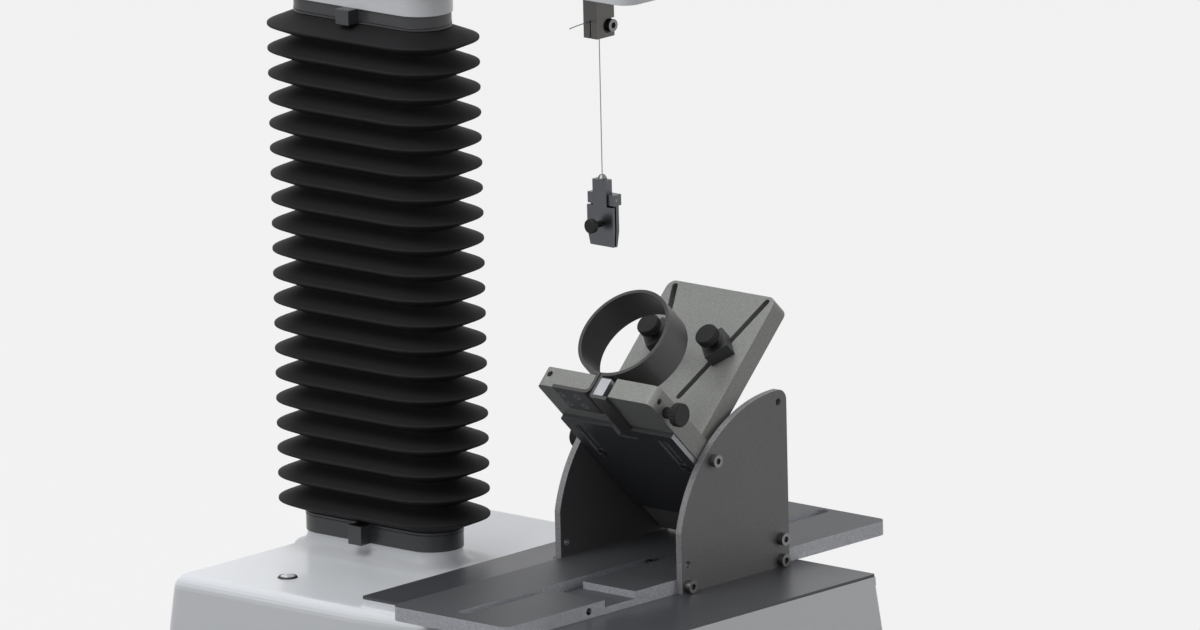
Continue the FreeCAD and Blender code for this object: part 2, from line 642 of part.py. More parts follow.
def make_base():
    """Casing, floor, feet and the stage."""
    flare_steps = 6
    rings = [(num("neck_radius + neck_flare"), num("ledge - wall_foot")),
             (num("neck_radius + neck_flare"), num("deck"))]
    for i in range(1, flare_steps + 1):
        turn = math.pi / 2 * i / flare_steps
        rings.append((num("neck_radius + neck_flare") - num("neck_flare") * math.sin(turn),
                      num("deck") + num("neck_flare") * (1 - math.cos(turn))))
    rings.append((num("neck_radius"), num("neck_top")))
    neck = shaped("neck_flare_stack", stadium_stack(rings))
    spigot = stadium("casing_spigot", "spigot_radius", ("neck_top - 1", "pleat_low"))
    bosses = [rod("casing_boss%d" % i, "boss_radius", "Z", ("floor_top", "deck - wall"), spot)
              for i, spot in enumerate(boss_spots())]
    rear_low = taper("casing_room_rear", ("-base_tall", "ledge"),
                     (either_side("inside_half_rear + wall_foot"),
                      ("stage_rear - 1", "inside_rear + wall_foot")),
                     (either_side("inside_half_rear + ledge_spread"), ("stage_rear - 1", "inside_rear")))
    rear_high = taper("casing_room_rear_top", ("ledge", "deck - wall"),
                      (either_side("inside_half_rear"), ("stage_rear - 1", "inside_rear")),
                      (either_side("inside_half_rear - edge_round"),
                       ("stage_rear - 1", "inside_rear - edge_round")))
    front_room = taper("casing_room_front", ("-base_tall", "deck - wall"),
                       (either_side("inside_half_front + wall_foot"),
                        ("-inside_front - wall_foot", "stage_rear")),
                       (either_side("inside_half_front"), ("-inside_front", "stage_rear")))
    plinth_room = box("casing_room_plinth", either_side("base_half_wide - 2 * wall"),
                      ("-inside_front", "stage_rear - wall"), ("deck - wall - 1", "-stage_thick - wall"))
    room = fuse("casing_room", rear_low, rear_high, front_room, plinth_room)
    shell = cut("casing_shell", fuse("casing_outside", *make_casing_body(), neck), room)
    column_way = stadium("casing_column_way", "spigot_radius - spigot_wall",
                         ("ledge - edge_round", "pleat_low + 1"))
    level_hole = rod("casing_level_hole", "level_radius + seat_gap", "Z", ("deck - 2 * wall", "deck + 1"),
                     ("-level_left", "level_back"))
    bolt_ways = [rod("casing_hold_down%d" % i, "hold_radius + 3 * seat_gap", "Z", ("-20", "0"),
                     (spot, "middle"))
                 for i, spot in enumerate(("hold_first", "hold_second"))]
    inlet_way = box("casing_inlet_way", ("inlet_left", "inlet_left + inlet_wide"),
                    ("base_rear - 40", "base_rear + 40"), ("inlet_low", "inlet_low + inlet_tall"))
    data_way = box("casing_data_way", ("inlet_left - 25", "inlet_left - 11"),
                   ("base_rear - 40", "base_rear + 40"), ("inlet_low + 5", "inlet_low + 18"))
    screw_ways = [rod("casing_screw_way%d" % i, "floor_screw_radius", "Z",
                      ("floor_top - 1", "floor_top + 14"), spot)
                  for i, spot in enumerate(boss_spots())]
    filled = fuse("casing_filled", shell, spigot, *bosses)
    keep(cut("casing", filled, column_way, level_hole, inlet_way, data_way, *bolt_ways, *screw_ways),
         "base_casing")

    front_floor = box("floor_front_half", either_side("floor_half"), ("floor_front", "floor_rear"),
                      ("-base_tall", "floor_top"))
    rear_floor = box("floor_rear_half", either_side("floor_half + shoulder - front_shoulder"),
                     ("stage_rear", "floor_rear"), ("-base_tall", "floor_top"))
    floor = fuse("floor_blank", front_floor, rear_floor)
    floor_ways = [rod("floor_way%d" % i, "floor_screw_radius + 2 * seat_gap", "Z",
                      ("-base_tall - 1", "floor_top + 1"), spot)
                  for i, spot in enumerate(boss_spots())]
    keep(cut("floor", floor, *floor_ways), "base_floor")
    screws = []
    for i, spot in enumerate(boss_spots()):
        head = rod("floor_screw_head%d" % i, "floor_screw_radius * 1.8", "Z",
                   ("-base_tall - 2.2", "-base_tall"), spot)
        shank = rod("floor_screw_shank%d" % i, "floor_screw_radius", "Z",
                    ("-base_tall - 1", "floor_top + 12"), spot)
        slot_cut = hexagon("floor_screw_socket%d" % i, "floor_screw_radius * 0.8", "Z",
                           ("-base_tall - 3", "-base_tall - 0.8"), spot)
        screws.append(cut("floor_screw%d" % i, fuse("floor_screw_blank%d" % i, head, shank), slot_cut))
    keep(group("floor_screw_group", *screws), "floor_screws")

    feet = []
    for i, spot in enumerate((x, y) for x in either_side("floor_half - foot_inset")
                             for y in ("floor_front + foot_inset * 1.6", "floor_rear - foot_inset * 2")):
        tread = rod("foot_tread%d" % i, "foot_radius", "Z",
                    ("-base_tall - foot_tall", "-base_tall - foot_tall * 0.4"), spot)
        neck_of_foot = cone("foot_neck%d" % i, "foot_radius", "foot_radius * 0.75", "Z",
                            ("-base_tall - foot_tall * 0.4", "-base_tall"), spot)
        feet.append(fuse("foot%d" % i, tread, neck_of_foot))
    keep(group("foot_group", *feet), "feet")

    stage = rounded("stage_blank", either_side("base_half_wide"), ("-base_front", "stage_rear"),
                    ("-stage_thick", "0"), "1.5")
    stage_ways = [rod("stage_way%d" % i, "hold_radius + 3 * seat_gap", "Z", ("-stage_thick - 1", "1"),
                      (spot, "middle"))
                  for i, spot in enumerate(("hold_first", "hold_second"))]
    keep(cut("stage", stage, *stage_ways), "stage_plate")
    bed = box("bed_blank", ("-70", "hold_second + 25"), either_side("70"),
              ("-stage_thick - wall - bed_thick", "-stage_thick - wall"))
    bed_ways = [rod("bed_way%d" % i, "hold_radius", "Z", ("-stage_thick - wall - bed_thick - 1", "0"),
                    (spot, "middle"))
                for i, spot in enumerate(("hold_first", "hold_second"))]
    keep(cut("bed", bed, *bed_ways), "stage_bed")

    bezel = rod("bezel_blank", "level_radius", "Z", ("deck - 2 * wall", "deck"),
                ("-level_left", "level_back"))
    bezel_way = rod("bezel_way", "level_radius - 1.2", "Z", ("deck - 1.6 * wall", "deck + 1"),
                    ("-level_left", "level_back"))
    keep(cut("bezel", bezel, bezel_way), "level_bezel")
    vial = rod("vial_body", "level_radius - 1.2", "Z", ("deck - 1.6 * wall", "deck - 1.4"),
               ("-level_left", "level_back"))
    dome = cone("vial_dome", "level_radius - 1.2", "level_radius - 3.4", "Z", ("deck - 1.4", "deck + 0.2"),
                ("-level_left", "level_back"))
    keep(fuse("vial", vial, dome), "level_vial")

    inlet = box("inlet_blank", ("inlet_left + seat_gap", "inlet_left + inlet_wide - seat_gap"),
                ("base_rear - 20", "base_rear + 11"),
                ("inlet_low + seat_gap", "inlet_low + inlet_tall - seat_gap"))
    inlet_room = box("inlet_room", ("inlet_left + 4", "inlet_left + inlet_wide - 4"),
                     ("base_rear - 8", "base_rear + 12"), ("inlet_low + 4", "inlet_low + inlet_tall - 4"))
    pins = [box("inlet_pin%d" % i, about("inlet_left + inlet_wide / 2 + %d" % x, "1"),
                ("base_rear - 9", "base_rear + 6"),
                about("inlet_low + inlet_tall / 2 + %d" % z, "2")) for i,
            (x, z) in enumerate(((-7, -1), (0, 3), (7, -1)))]
    inlet_whole = fuse("inlet", cut("inlet_shell", inlet, inlet_room), *pins)
    data = box("data_blank", ("inlet_left - 25 + seat_gap", "inlet_left - 11 - seat_gap"),
               ("base_rear - 12", "base_rear + 11"),
               ("inlet_low + 5 + seat_gap", "inlet_low + 18 - seat_gap"))
    data_room = box("data_room", ("inlet_left - 23", "inlet_left - 13"),
                    ("base_rear - 2", "base_rear + 12"),
                    ("inlet_low + 7", "inlet_low + 16"))
    keep(group("rear_socket_group", inlet_whole, cut("data", data, data_room)), "rear_sockets")


# Column
def band(name, z):
    """A clamp band with its screw box."""
    outer = stadium(name + "_outer", "band_radius + band_thick", z)
    inner = stadium(name + "_inner", "band_radius", ("(%s) - 1" % z[0], "(%s) + 1" % z[1]))
    tab = box(name + "_tab", ("-band_radius - band_thick - tab_deep", "-band_radius - band_thick / 2"),
              about("column_back", "tab_wide / 2"), z)
    return fuse(name, cut(name + "_strip", outer, inner), tab)


def make_bellows(label, collar_low, low, high, collar_high, count):
    """Folded sheet with plain collars: the inside follows the folds."""
    valley = num("band_radius")
    crest = num("band_radius + pleat_depth")
    sheet_wall = num("sheet_wall")
    half_rim = num("rim_thick") / 2
    bottom = num(low)
    pitch = (num(high) - bottom) / count
    outer = [(valley, num(collar_low))]
    inner = [(valley - sheet_wall, num(collar_low) - 1)]
    for i in range(count):
        fold = bottom + pitch * i
        crest_z = fold + pitch / 2
        outer += [(valley, fold), (crest, crest_z - half_rim), (crest, crest_z + half_rim)]
        inner += [(valley - sheet_wall, fold), (crest - sheet_wall, crest_z)]
    outer += [(valley, num(high)), (valley, num(collar_high))]
    inner += [(valley - sheet_wall, num(high)), (valley - sheet_wall, num(collar_high) + 1)]
    sheet_shape = stadium_stack(outer).cut(stadium_stack(inner))
    keep(shaped(label + "_sheet", sheet_shape), label)


def make_column():
    """Beam, rails, lead screw and drive, bellows, bands and the head of the column."""
    foot_plate = box("foot_plate_blank", either_side("60"), ("column_back - 60", "column_back + 55"),
                     ("foot_plate_low", "deck - wall"))
    bearing_seat = rod("foot_bearing_seat", "bearing_radius", "Z", ("foot_plate_low - 1", "deck"),
                       ("0", "screw_y"))
    posts = [rod("motor_post%d" % i, "3.5", "Z", ("motor_top", "foot_plate_low + 1"), (x, y))
             for i, (x, y) in enumerate((x, y) for x in either_side("motor_wide / 2 - 5.5")
                                        for y in about("screw_y", "motor_wide / 2 - 5.5"))]
    keep(fuse("foot_plate_whole", cut("foot_plate", foot_plate, bearing_seat), *posts), "column_foot")
    beam_plan = stadium("beam_plan", "beam_radius", ("deck - wall", "beam_top"))
    beam_half = box("beam_half", either_side("beam_radius + 1"),
                    ("column_back + beam_front", "column_back + 100"), ("deck - wall", "beam_top"))
    beam_room = box("beam_room", either_side("beam_radius * 0.55"),
                    ("column_back + beam_front + 6", "column_back + column_run + 4"),
                    ("deck - wall - 1", "beam_top + 1"))
    keep(cut("beam", common("beam_solid", beam_plan, beam_half), beam_room), "column_beam")
    rails = [box("rail%d" % i, about(x, "rail_wide / 2"), ("rail_front", "column_back + beam_front"),
                 ("pleat_low", "beam_top - 12")) for i, x in enumerate(either_side("rail_apart / 2"))]
    keep(group("rail_group", *rails), "guide_rails")
    keep(rod("lead_screw_rod", "screw_radius", "Z", ("screw_low", "beam_top"), ("0", "screw_y")),
         "lead_screw")
    rings = []
    for i, span in enumerate((("foot_plate_low", "deck - wall"), ("head_top", "head_top + 8"))):
        race = rod("bearing_race%d" % i, "bearing_radius", "Z", span, ("0", "screw_y"))
        bore = rod("bearing_bore%d" % i, "screw_radius + running_gap", "Z",
                   ("(%s) - 1" % span[0], "(%s) + 1" % span[1]), ("0", "screw_y"))
        rings.append(cut("bearing%d" % i, race, bore))
    keep(group("bearing_group", *rings), "screw_bearings")
    sleeve = rod("coupling_blank", "screw_radius + 4", "Z", about("screw_low", "9"), ("0", "screw_y"))
    upper_bore = rod("coupling_upper", "screw_radius", "Z", ("screw_low", "screw_low + 10"),
                     ("0", "screw_y"))
    shaft = rod("motor_shaft_rod", "2.5", "Z", ("motor_top - 12", "screw_low"), ("0", "screw_y"))
    keep(fuse("coupling_whole", cut("coupling", sleeve, upper_bore), shaft), "shaft_coupling")
    motor = rounded("motor_blank", either_side("motor_wide / 2"), about("screw_y", "motor_wide / 2"),
                    ("motor_top - motor_tall", "motor_top"), "4")
    motor_bore = rod("motor_bore", "2.5 + running_gap", "Z", ("motor_top - 14", "motor_top + 1"),
                     ("0", "screw_y"))
    keep(cut("motor", motor, motor_bore), "drive_motor")

    keep(band("foot_band_whole", ("neck_top", "pleat_low")), "foot_band")
    keep(group("arm_band_group", band("skirt_band", ("pleat_high", "skirt_low")),
               band("arm_top_band", ("arm_top", "upper_low"))), "arm_bands")
    keep(band("cap_band_whole", ("upper_high", "cap_low")), "cap_band")
    make_bellows("lower_bellows", "neck_top", "pleat_low", "pleat_high", "skirt_low",
                 int(num("pleat_count")))
    make_bellows("upper_bellows", "arm_top", "upper_low", "upper_high", "cap_low",
                 int(num("upper_pleat_count")))

    head = stadium("head_disc", "cap_radius - wall - seat_gap", ("cap_low", "head_top"))
    head_spigot = stadium("head_spigot", "spigot_radius", ("upper_high", "cap_low + 1"))
    head_way = stadium("head_way", "spigot_radius - spigot_wall", ("upper_high - 1", "head_top + 1"))
    bearing_plate = box("bearing_plate_blank", either_side("30"),
                        ("screw_y - 16", "rail_front + rail_deep"),
                        ("head_top", "head_top + 8"))
    plate_seat = rod("bearing_plate_seat", "bearing_radius", "Z", ("head_top - 1", "head_top + 9"),
                     ("0", "screw_y"))
    keep(fuse("head_whole", cut("head", fuse("head_blank", head, head_spigot), head_way),
              cut("bearing_plate", bearing_plate, plate_seat)), "column_head")
    cap_top = num("cap_low + cap_tall")
    cap_radius = num("cap_radius")
    cap_edge = 7
    cap_rings = [(cap_radius, num("cap_low")), (cap_radius, cap_top - cap_edge)]
    for i in range(1, 6):
        turn = math.pi / 2 * i / 5
        cap_rings.append((cap_radius - cap_edge * (1 - math.cos(turn)),
                          cap_top - cap_edge + cap_edge * math.sin(turn)))
    cap_solid = shaped("cap_stack", stadium_stack(cap_rings))
    cap_room = stadium("cap_room", "cap_radius - wall", ("cap_low - 1", "cap_low + cap_tall - 2 * wall"))
    keep(cut("cap", cap_solid, cap_room), "top_cap")


# Crosshead: the arm, its carriage and the load cell
def make_crosshead():
    saddle = box("saddle", either_side("beam_radius - 0.8"), ("column_back + 3", "rail_front - 3"),
                 ("carriage_low", "carriage_high"))
    housing = box("nut_housing", either_side("nut_radius + 4"), ("carriage_front", "column_back + 4"),
                  ("carriage_low", "carriage_high"))
    nut_seat = rod("nut_seat", "nut_radius", "Z", ("carriage_low - 1", "carriage_high + 1"),
                   ("0", "screw_y"))
    spine = box("spine_bar", either_side("12"), ("cell_long - 34", "carriage_front + 1"),
                ("cell_high", "cell_high + 32"))
    spine_ways = [rod("spine_way%d" % i, "bolt_radius", "Z", ("cell_high - 1", "cell_high + 12"),
                      ("0", "cell_long - %d" % d))
                  for i, d in enumerate((17, 28))]
    keep(cut("carriage_whole", fuse("carriage_blank", saddle, housing, spine), nut_seat, *spine_ways),
         "carriage")
    nut = rod("nut_barrel", "nut_radius", "Z", ("carriage_low - 1", "carriage_low + 40"), ("0", "screw_y"))
    flange = rod("nut_flange", "nut_radius + 3", "Z", ("carriage_low - 4", "carriage_low"),
                 ("0", "screw_y"))
    nut_bore = rod("nut_bore", "screw_radius + running_gap", "Z",
                   ("carriage_low - 5", "carriage_low + 41"), ("0", "screw_y"))
    keep(cut("nut_whole", fuse("nut_blank", nut, flange), nut_bore), "drive_nut")
    runners = []
    for i, (x, z) in enumerate((x, z) for x in either_side("rail_apart / 2") for z in ("carriage_low",
                                                                                       "carriage_high - 22")):
        runner = box("runner_blank%d" % i, about(x, "rail_wide / 2 + 2.5"),
                     ("rail_front - 3", "rail_front + rail_deep - 0.6"), (z, "(%s) + 22" % z))
        way = box("runner_way%d" % i, about(x, "rail_wide / 2 + running_gap"),
                  ("rail_front - running_gap", "rail_front + rail_deep + 1"),
                  ("(%s) - 1" % z, "(%s) + 23" % z))
        runners.append(cut("runner%d" % i, runner, way))
    keep(group("runner_group", *runners), "rail_runners")
    arm_x = either_side("arm_half_wide")
    arm_y = ("-arm_front", "column_back + arm_rear")
    outside = rounded("arm_outside", arm_x, arm_y, ("arm_low", "arm_top - lid_tall"), "arm_corner")
    skirt = stadium("arm_skirt", "skirt_radius", ("skirt_low", "arm_low + 1"))
    spigot = stadium("arm_spigot", "spigot_radius", ("pleat_high", "skirt_low + 1"))
    room = rounded("arm_room", either_side("arm_half_wide - wall"),
                   ("-arm_front + wall", "column_back + arm_rear - wall"),
                   ("arm_low + wall", "arm_top"), "arm_corner - wall")
    column_way = stadium("arm_column_way", "spigot_radius - spigot_wall",
                         ("pleat_high - 1", "arm_low + wall + 1"))
    adaptor_way = box("arm_adaptor_way", either_side("adaptor_wide / 2 + 1.2"),
                      either_side("adaptor_deep / 2 + 1.2"),
                      ("arm_low - 1", "arm_low + wall + 1"))
    keep(cut("arm", fuse("arm_blank", outside, skirt, spigot), room, column_way, adaptor_way), "arm_casing")
    lid = rounded("lid_outside", arm_x, arm_y, ("arm_top - lid_tall", "arm_top"), "arm_corner")
    lid_spigot = stadium("lid_spigot", "spigot_radius", ("arm_top - 1", "upper_low"))
    lid_room = rounded("lid_room", either_side("arm_half_wide - wall"),
                       ("-arm_front + wall", "column_back + arm_rear - wall"),
                       ("arm_top - lid_tall - 1", "arm_top - wall"), "arm_corner - wall")
    lid_way = stadium("lid_way", "spigot_radius - spigot_wall", ("arm_top - lid_tall", "upper_low + 1"))
    keep(cut("lid", fuse("lid_blank", lid, lid_spigot), lid_room, lid_way), "arm_lid")
    cell_y = ("-12", "cell_long - 12")
    cell = box("cell_blank", either_side("cell_half_wide"), cell_y, ("cell_low", "cell_high"))
    cell_holes = [rod("cell_hole%d" % i, "4.4", "X", either_side("cell_half_wide + 1"),
                      (y, "cell_low + cell_tall / 2"))
                  for i, y in enumerate(("18", "38"))]
    cell_slot = box("cell_slot", either_side("cell_half_wide + 1"), ("18", "38"),
                    about("cell_low + cell_tall / 2", "1.5"))
    cell_ways = [rod("cell_way%d" % i, "bolt_radius", "Z", ("cell_low - 1", "cell_high + 1"),
                     ("0", "cell_long - %d" % d))
                 for i, d in enumerate((17, 28))]
    stud_way = rod("cell_stud_way", "3", "Z", ("cell_low - 1", "cell_low + 10"))
    keep(cut("cell", cell, *cell_holes, cell_slot, *cell_ways, stud_way), "load_cell")
    screws = [cap_screw("cell_screw%d" % i, "Z", "cell_low", -1, "cell_tall + 10",
                        ("0", "cell_long - %d" % d))
              for i, d in enumerate((17, 28))]
    keep(group("cell_screw_group", *screws), "cell_screws")


# Adaptor, wire and film clamp
def make_grip():
    block = box("adaptor_block", either_side("adaptor_wide / 2"), either_side("adaptor_deep / 2"),
                ("adaptor_low", "cell_low"))
    stud = rod("adaptor_stud", "3", "Z", ("cell_low - 1", "cell_low + 9"))
    slit = box("adaptor_slit", ("-adaptor_wide", "1"), either_side("slit / 2"),
               ("adaptor_low - 1", "adaptor_low + 13"))
    funnel = cone("adaptor_funnel", "1.4", "0.6", "Z", ("adaptor_low - 0.01", "adaptor_low + 2.3"))
    seat_y = "-adaptor_deep / 2 + 2.6"
    head_way = rod("adaptor_head_way", "bolt_head_radius + 0.5", "Y", ("-adaptor_deep", seat_y),
                   ("2.4", "adaptor_low + 7.8"))
    side_way = box("adaptor_side_way", ("2.4", "adaptor_wide"), ("-adaptor_deep", seat_y),
                   about("adaptor_low + 7.8", "bolt_head_radius + 0.5"))
    screw_way = rod("adaptor_screw_way", "bolt_radius", "Y", ("-adaptor_deep", "adaptor_deep / 2 - 1.5"),
                    ("5.2", "adaptor_low + 7.8"))
    keep(cut("adaptor_whole", fuse("adaptor_blank", block, stud), slit, funnel, head_way, side_way,
             screw_way), "wire_adaptor")
    keep(cap_screw("adaptor_screw_whole", "Y", seat_y, -1, "adaptor_deep - 4.6",
                   ("5.2", "adaptor_low + 7.8")), "adaptor_screw")

    radius = num("wire_radius")
    bend = num("tail_bend")
    rise = num("adaptor_low + tail_rise")
    start = FreeCAD.Vector(0, 0, num("wire_top + 0.3"))
    bend_start = FreeCAD.Vector(0, 0, rise - bend)
    bend_end = FreeCAD.Vector(-bend, 0, rise)
    share = math.sqrt(0.5)
    bend_middle = FreeCAD.Vector(-bend * (1 - share), 0, rise - bend * (1 - share))
    tail_end = FreeCAD.Vector(-num("adaptor_wide / 2 + tail_long"), 0, rise)
    path = Part.Wire([Part.LineSegment(start, bend_start).toShape(),
                      Part.Arc(bend_start, bend_middle, bend_end).toShape(),
                      Part.LineSegment(bend_end, tail_end).toShape()])
    section = Part.Wire([Part.makeCircle(radius, start, Z_AXIS)])
    keep(shaped("tail_sweep", path.makePipeShell([section], True, False)), "wire_tail")
    keep(rod("wire_rod", "wire_radius", "Z", ("wire_low", "wire_top")), "hanging_wire")
    ferrule = rod("crimp_blank", "1.5", "Z", ("wire_low - 2", "wire_low + 1.5"))
    ferrule_bore = rod("crimp_bore", "wire_radius + running_gap", "Z", ("wire_low", "wire_low + 2"))
    crimp = cut("crimp", ferrule, ferrule_bore)

    neck_x = ("clamp_front", "clamp_front + clamp_neck_deep")
    neck = box("clamp_neck", neck_x, either_side("clamp_neck_wide / 2"),
               ("clamp_jaw_top", "clamp_neck_top"))
    plate = box("clamp_plate", ("clamp_front", "clamp_front + front_jaw_thick"),
                either_side("clamp_half_wide"),
                ("clamp_jaw_low + jaw_bevel_tall", "clamp_jaw_top"))
    lip = taper("clamp_lip", ("clamp_jaw_low", "clamp_jaw_low + jaw_bevel_tall"),
                (("clamp_front + front_jaw_thick * 0.75", "clamp_front + front_jaw_thick"),
                 either_side("clamp_half_wide - 0.9")),
                (("clamp_front", "clamp_front + front_jaw_thick"), either_side("clamp_half_wide")))
    crimp_room = rod("clamp_crimp_room", "1.5 + running_gap", "Z", ("wire_low - 2.3", "wire_low + 1.5"))
    wire_way = rod("clamp_wire_way", "wire_radius + running_gap", "Z",
                   ("wire_low - 1", "clamp_neck_top + 1"))
    pin_way = rod("clamp_pin_way", "1 + running_gap", "Y", either_side("clamp_half_wide"),
                  ("clamp_front + clamp_neck_deep / 2 + 0.8", "clamp_pin_z"))
    knob_way = rod("clamp_knob_way", "1.6", "X", ("clamp_front - 1", "clamp_front + front_jaw_thick + 0.5"),
                   ("0", "clamp_screw_z"))
    keep(cut("clamp_whole", fuse("clamp_blank", neck, plate, lip), crimp_room, wire_way, pin_way,
             knob_way), "clamp_front_jaw")
    dome = cone("nipple_dome", "nipple_radius", "nipple_radius * 0.55", "Z",
                ("clamp_neck_top + 1", "nipple_top"))
    skirt = rod("nipple_skirt", "nipple_radius", "Z", ("clamp_neck_top", "clamp_neck_top + 1"))
    nipple_way = rod("nipple_way", "wire_radius + running_gap", "Z",
                     ("clamp_neck_top - 1", "nipple_top + 1"))
    keep(group("nipple_group", cut("nipple", fuse("nipple_blank", skirt, dome), nipple_way), crimp),
         "clamp_nipple")
    ears = box("ear_block", ("clamp_front + 1.4", "clamp_front + 1.4 + ear_deep"),
               either_side("clamp_half_wide + 0.5"),
               about("clamp_pin_z", "ear_tall / 2"))
    neck_way = box("ear_neck_way", ("clamp_front", "clamp_front + clamp_neck_deep + 0.4"),
                   either_side("clamp_neck_wide / 2 + running_gap"), about("clamp_pin_z", "ear_tall"))
    back = box("rear_plate", ("rear_jaw_front", "rear_jaw_front + rear_jaw_thick"),
               either_side("clamp_half_wide"),
               ("clamp_jaw_low + jaw_bevel_tall", "clamp_pin_z - ear_tall / 2"))
    back_lip = taper("rear_lip", ("clamp_jaw_low", "clamp_jaw_low + jaw_bevel_tall"),
                     (("rear_jaw_front", "rear_jaw_front + rear_jaw_thick * 0.6"),
                      either_side("clamp_half_wide - 0.9")),
                     (("rear_jaw_front", "rear_jaw_front + rear_jaw_thick"),
                      either_side("clamp_half_wide")))
    back_relief = box("rear_relief", ("rear_jaw_front - 1", "clamp_front + clamp_neck_deep + 0.4"),
                      either_side("clamp_neck_wide / 2 + running_gap"),
                      ("clamp_jaw_top - 0.5", "clamp_jaw_top + 2"))
    ear_pin_way = rod("ear_pin_way", "1", "Y", either_side("clamp_half_wide + 1"),
                      ("clamp_front + clamp_neck_deep / 2 + 0.8", "clamp_pin_z"))
    back_way = rod("rear_screw_way", "1.6", "X",
                   ("rear_jaw_front - 1", "rear_jaw_front + rear_jaw_thick + 1"),
                   ("0", "clamp_screw_z"))
    keep(cut("rear_jaw_whole", fuse("rear_jaw_blank", cut("ears", ears, neck_way), back, back_lip),
             back_relief, ear_pin_way, back_way), "clamp_rear_jaw")
    keep(rod("jaw_pin_rod", "1", "Y", either_side("clamp_half_wide + 0.5"),
             ("clamp_front + clamp_neck_deep / 2 + 0.8", "clamp_pin_z")), "clamp_pin")
    knob_face = "clamp_front - 11"
    knob = make_knob("clamp_knob_disc", "clamp_knob_radius", "X", (knob_face, "clamp_front - 7"),
                     ("0", "clamp_screw_z"),
                   rod("clamp_knob_boss", "2.25", "X", ("clamp_front - 7.5", "clamp_front - running_gap"),
                       ("0", "clamp_screw_z")),
                   rod("clamp_knob_bore", "1.25", "X", ("clamp_front - 9", "clamp_front"),
                       ("0", "clamp_screw_z")))
    clamp_screw = rod("clamp_screw_rod", "1.25", "X",
                      ("clamp_front - 9", "rear_jaw_front + rear_jaw_thick + 3"),
                      ("0", "clamp_screw_z"))
    keep(fuse("clamp_knob_whole", knob, clamp_screw), "clamp_knob")


def make_knob(name, radius, axis, span, centre, boss, bore):
    """A thumb knob: a disc with bevelled rims, a boss and a bore."""
    bevel = "(%s) * 0.1" % radius
    low = ("(%s)" % span[0], "(%s) + %s" % (span[0], bevel))
    high = ("(%s) - %s" % (span[1], bevel), "(%s)" % span[1])
    rim = rod(name + "_rim", radius, axis, (low[1], high[0]), centre)
    first = cone(name + "_first", "(%s) * 0.9" % radius, radius, axis, low, centre)
    last = cone(name + "_last", radius, "(%s) * 0.9" % radius, axis, high, centre)
    return cut(name, fuse(name + "_blank", rim, first, last, boss), bore)


def fluted_knob(name, axis, span, centre, boss, bore):
    """A thumb knob with a fluted rim."""
    blank = make_knob(name + "_plain", "knob_radius", axis, span, centre, boss, bore)
    count = int(num("flute_count"))
    flutes = []
    for i in range(count):
        turn = 360.0 * i / count
        spot = ("(%s) + (knob_radius + 0.35) * cos(%.3f)" % (centre[0], turn),
                "(%s) + (knob_radius + 0.35) * sin(%.3f)" % (centre[1], turn))
        flutes.append(rod(name + "_flute%d" % i, "0.75", axis,
                          ("(%s) - 1" % span[0], "(%s) + 1" % span[1]), spot))
    return cut(name, blank, *flutes)


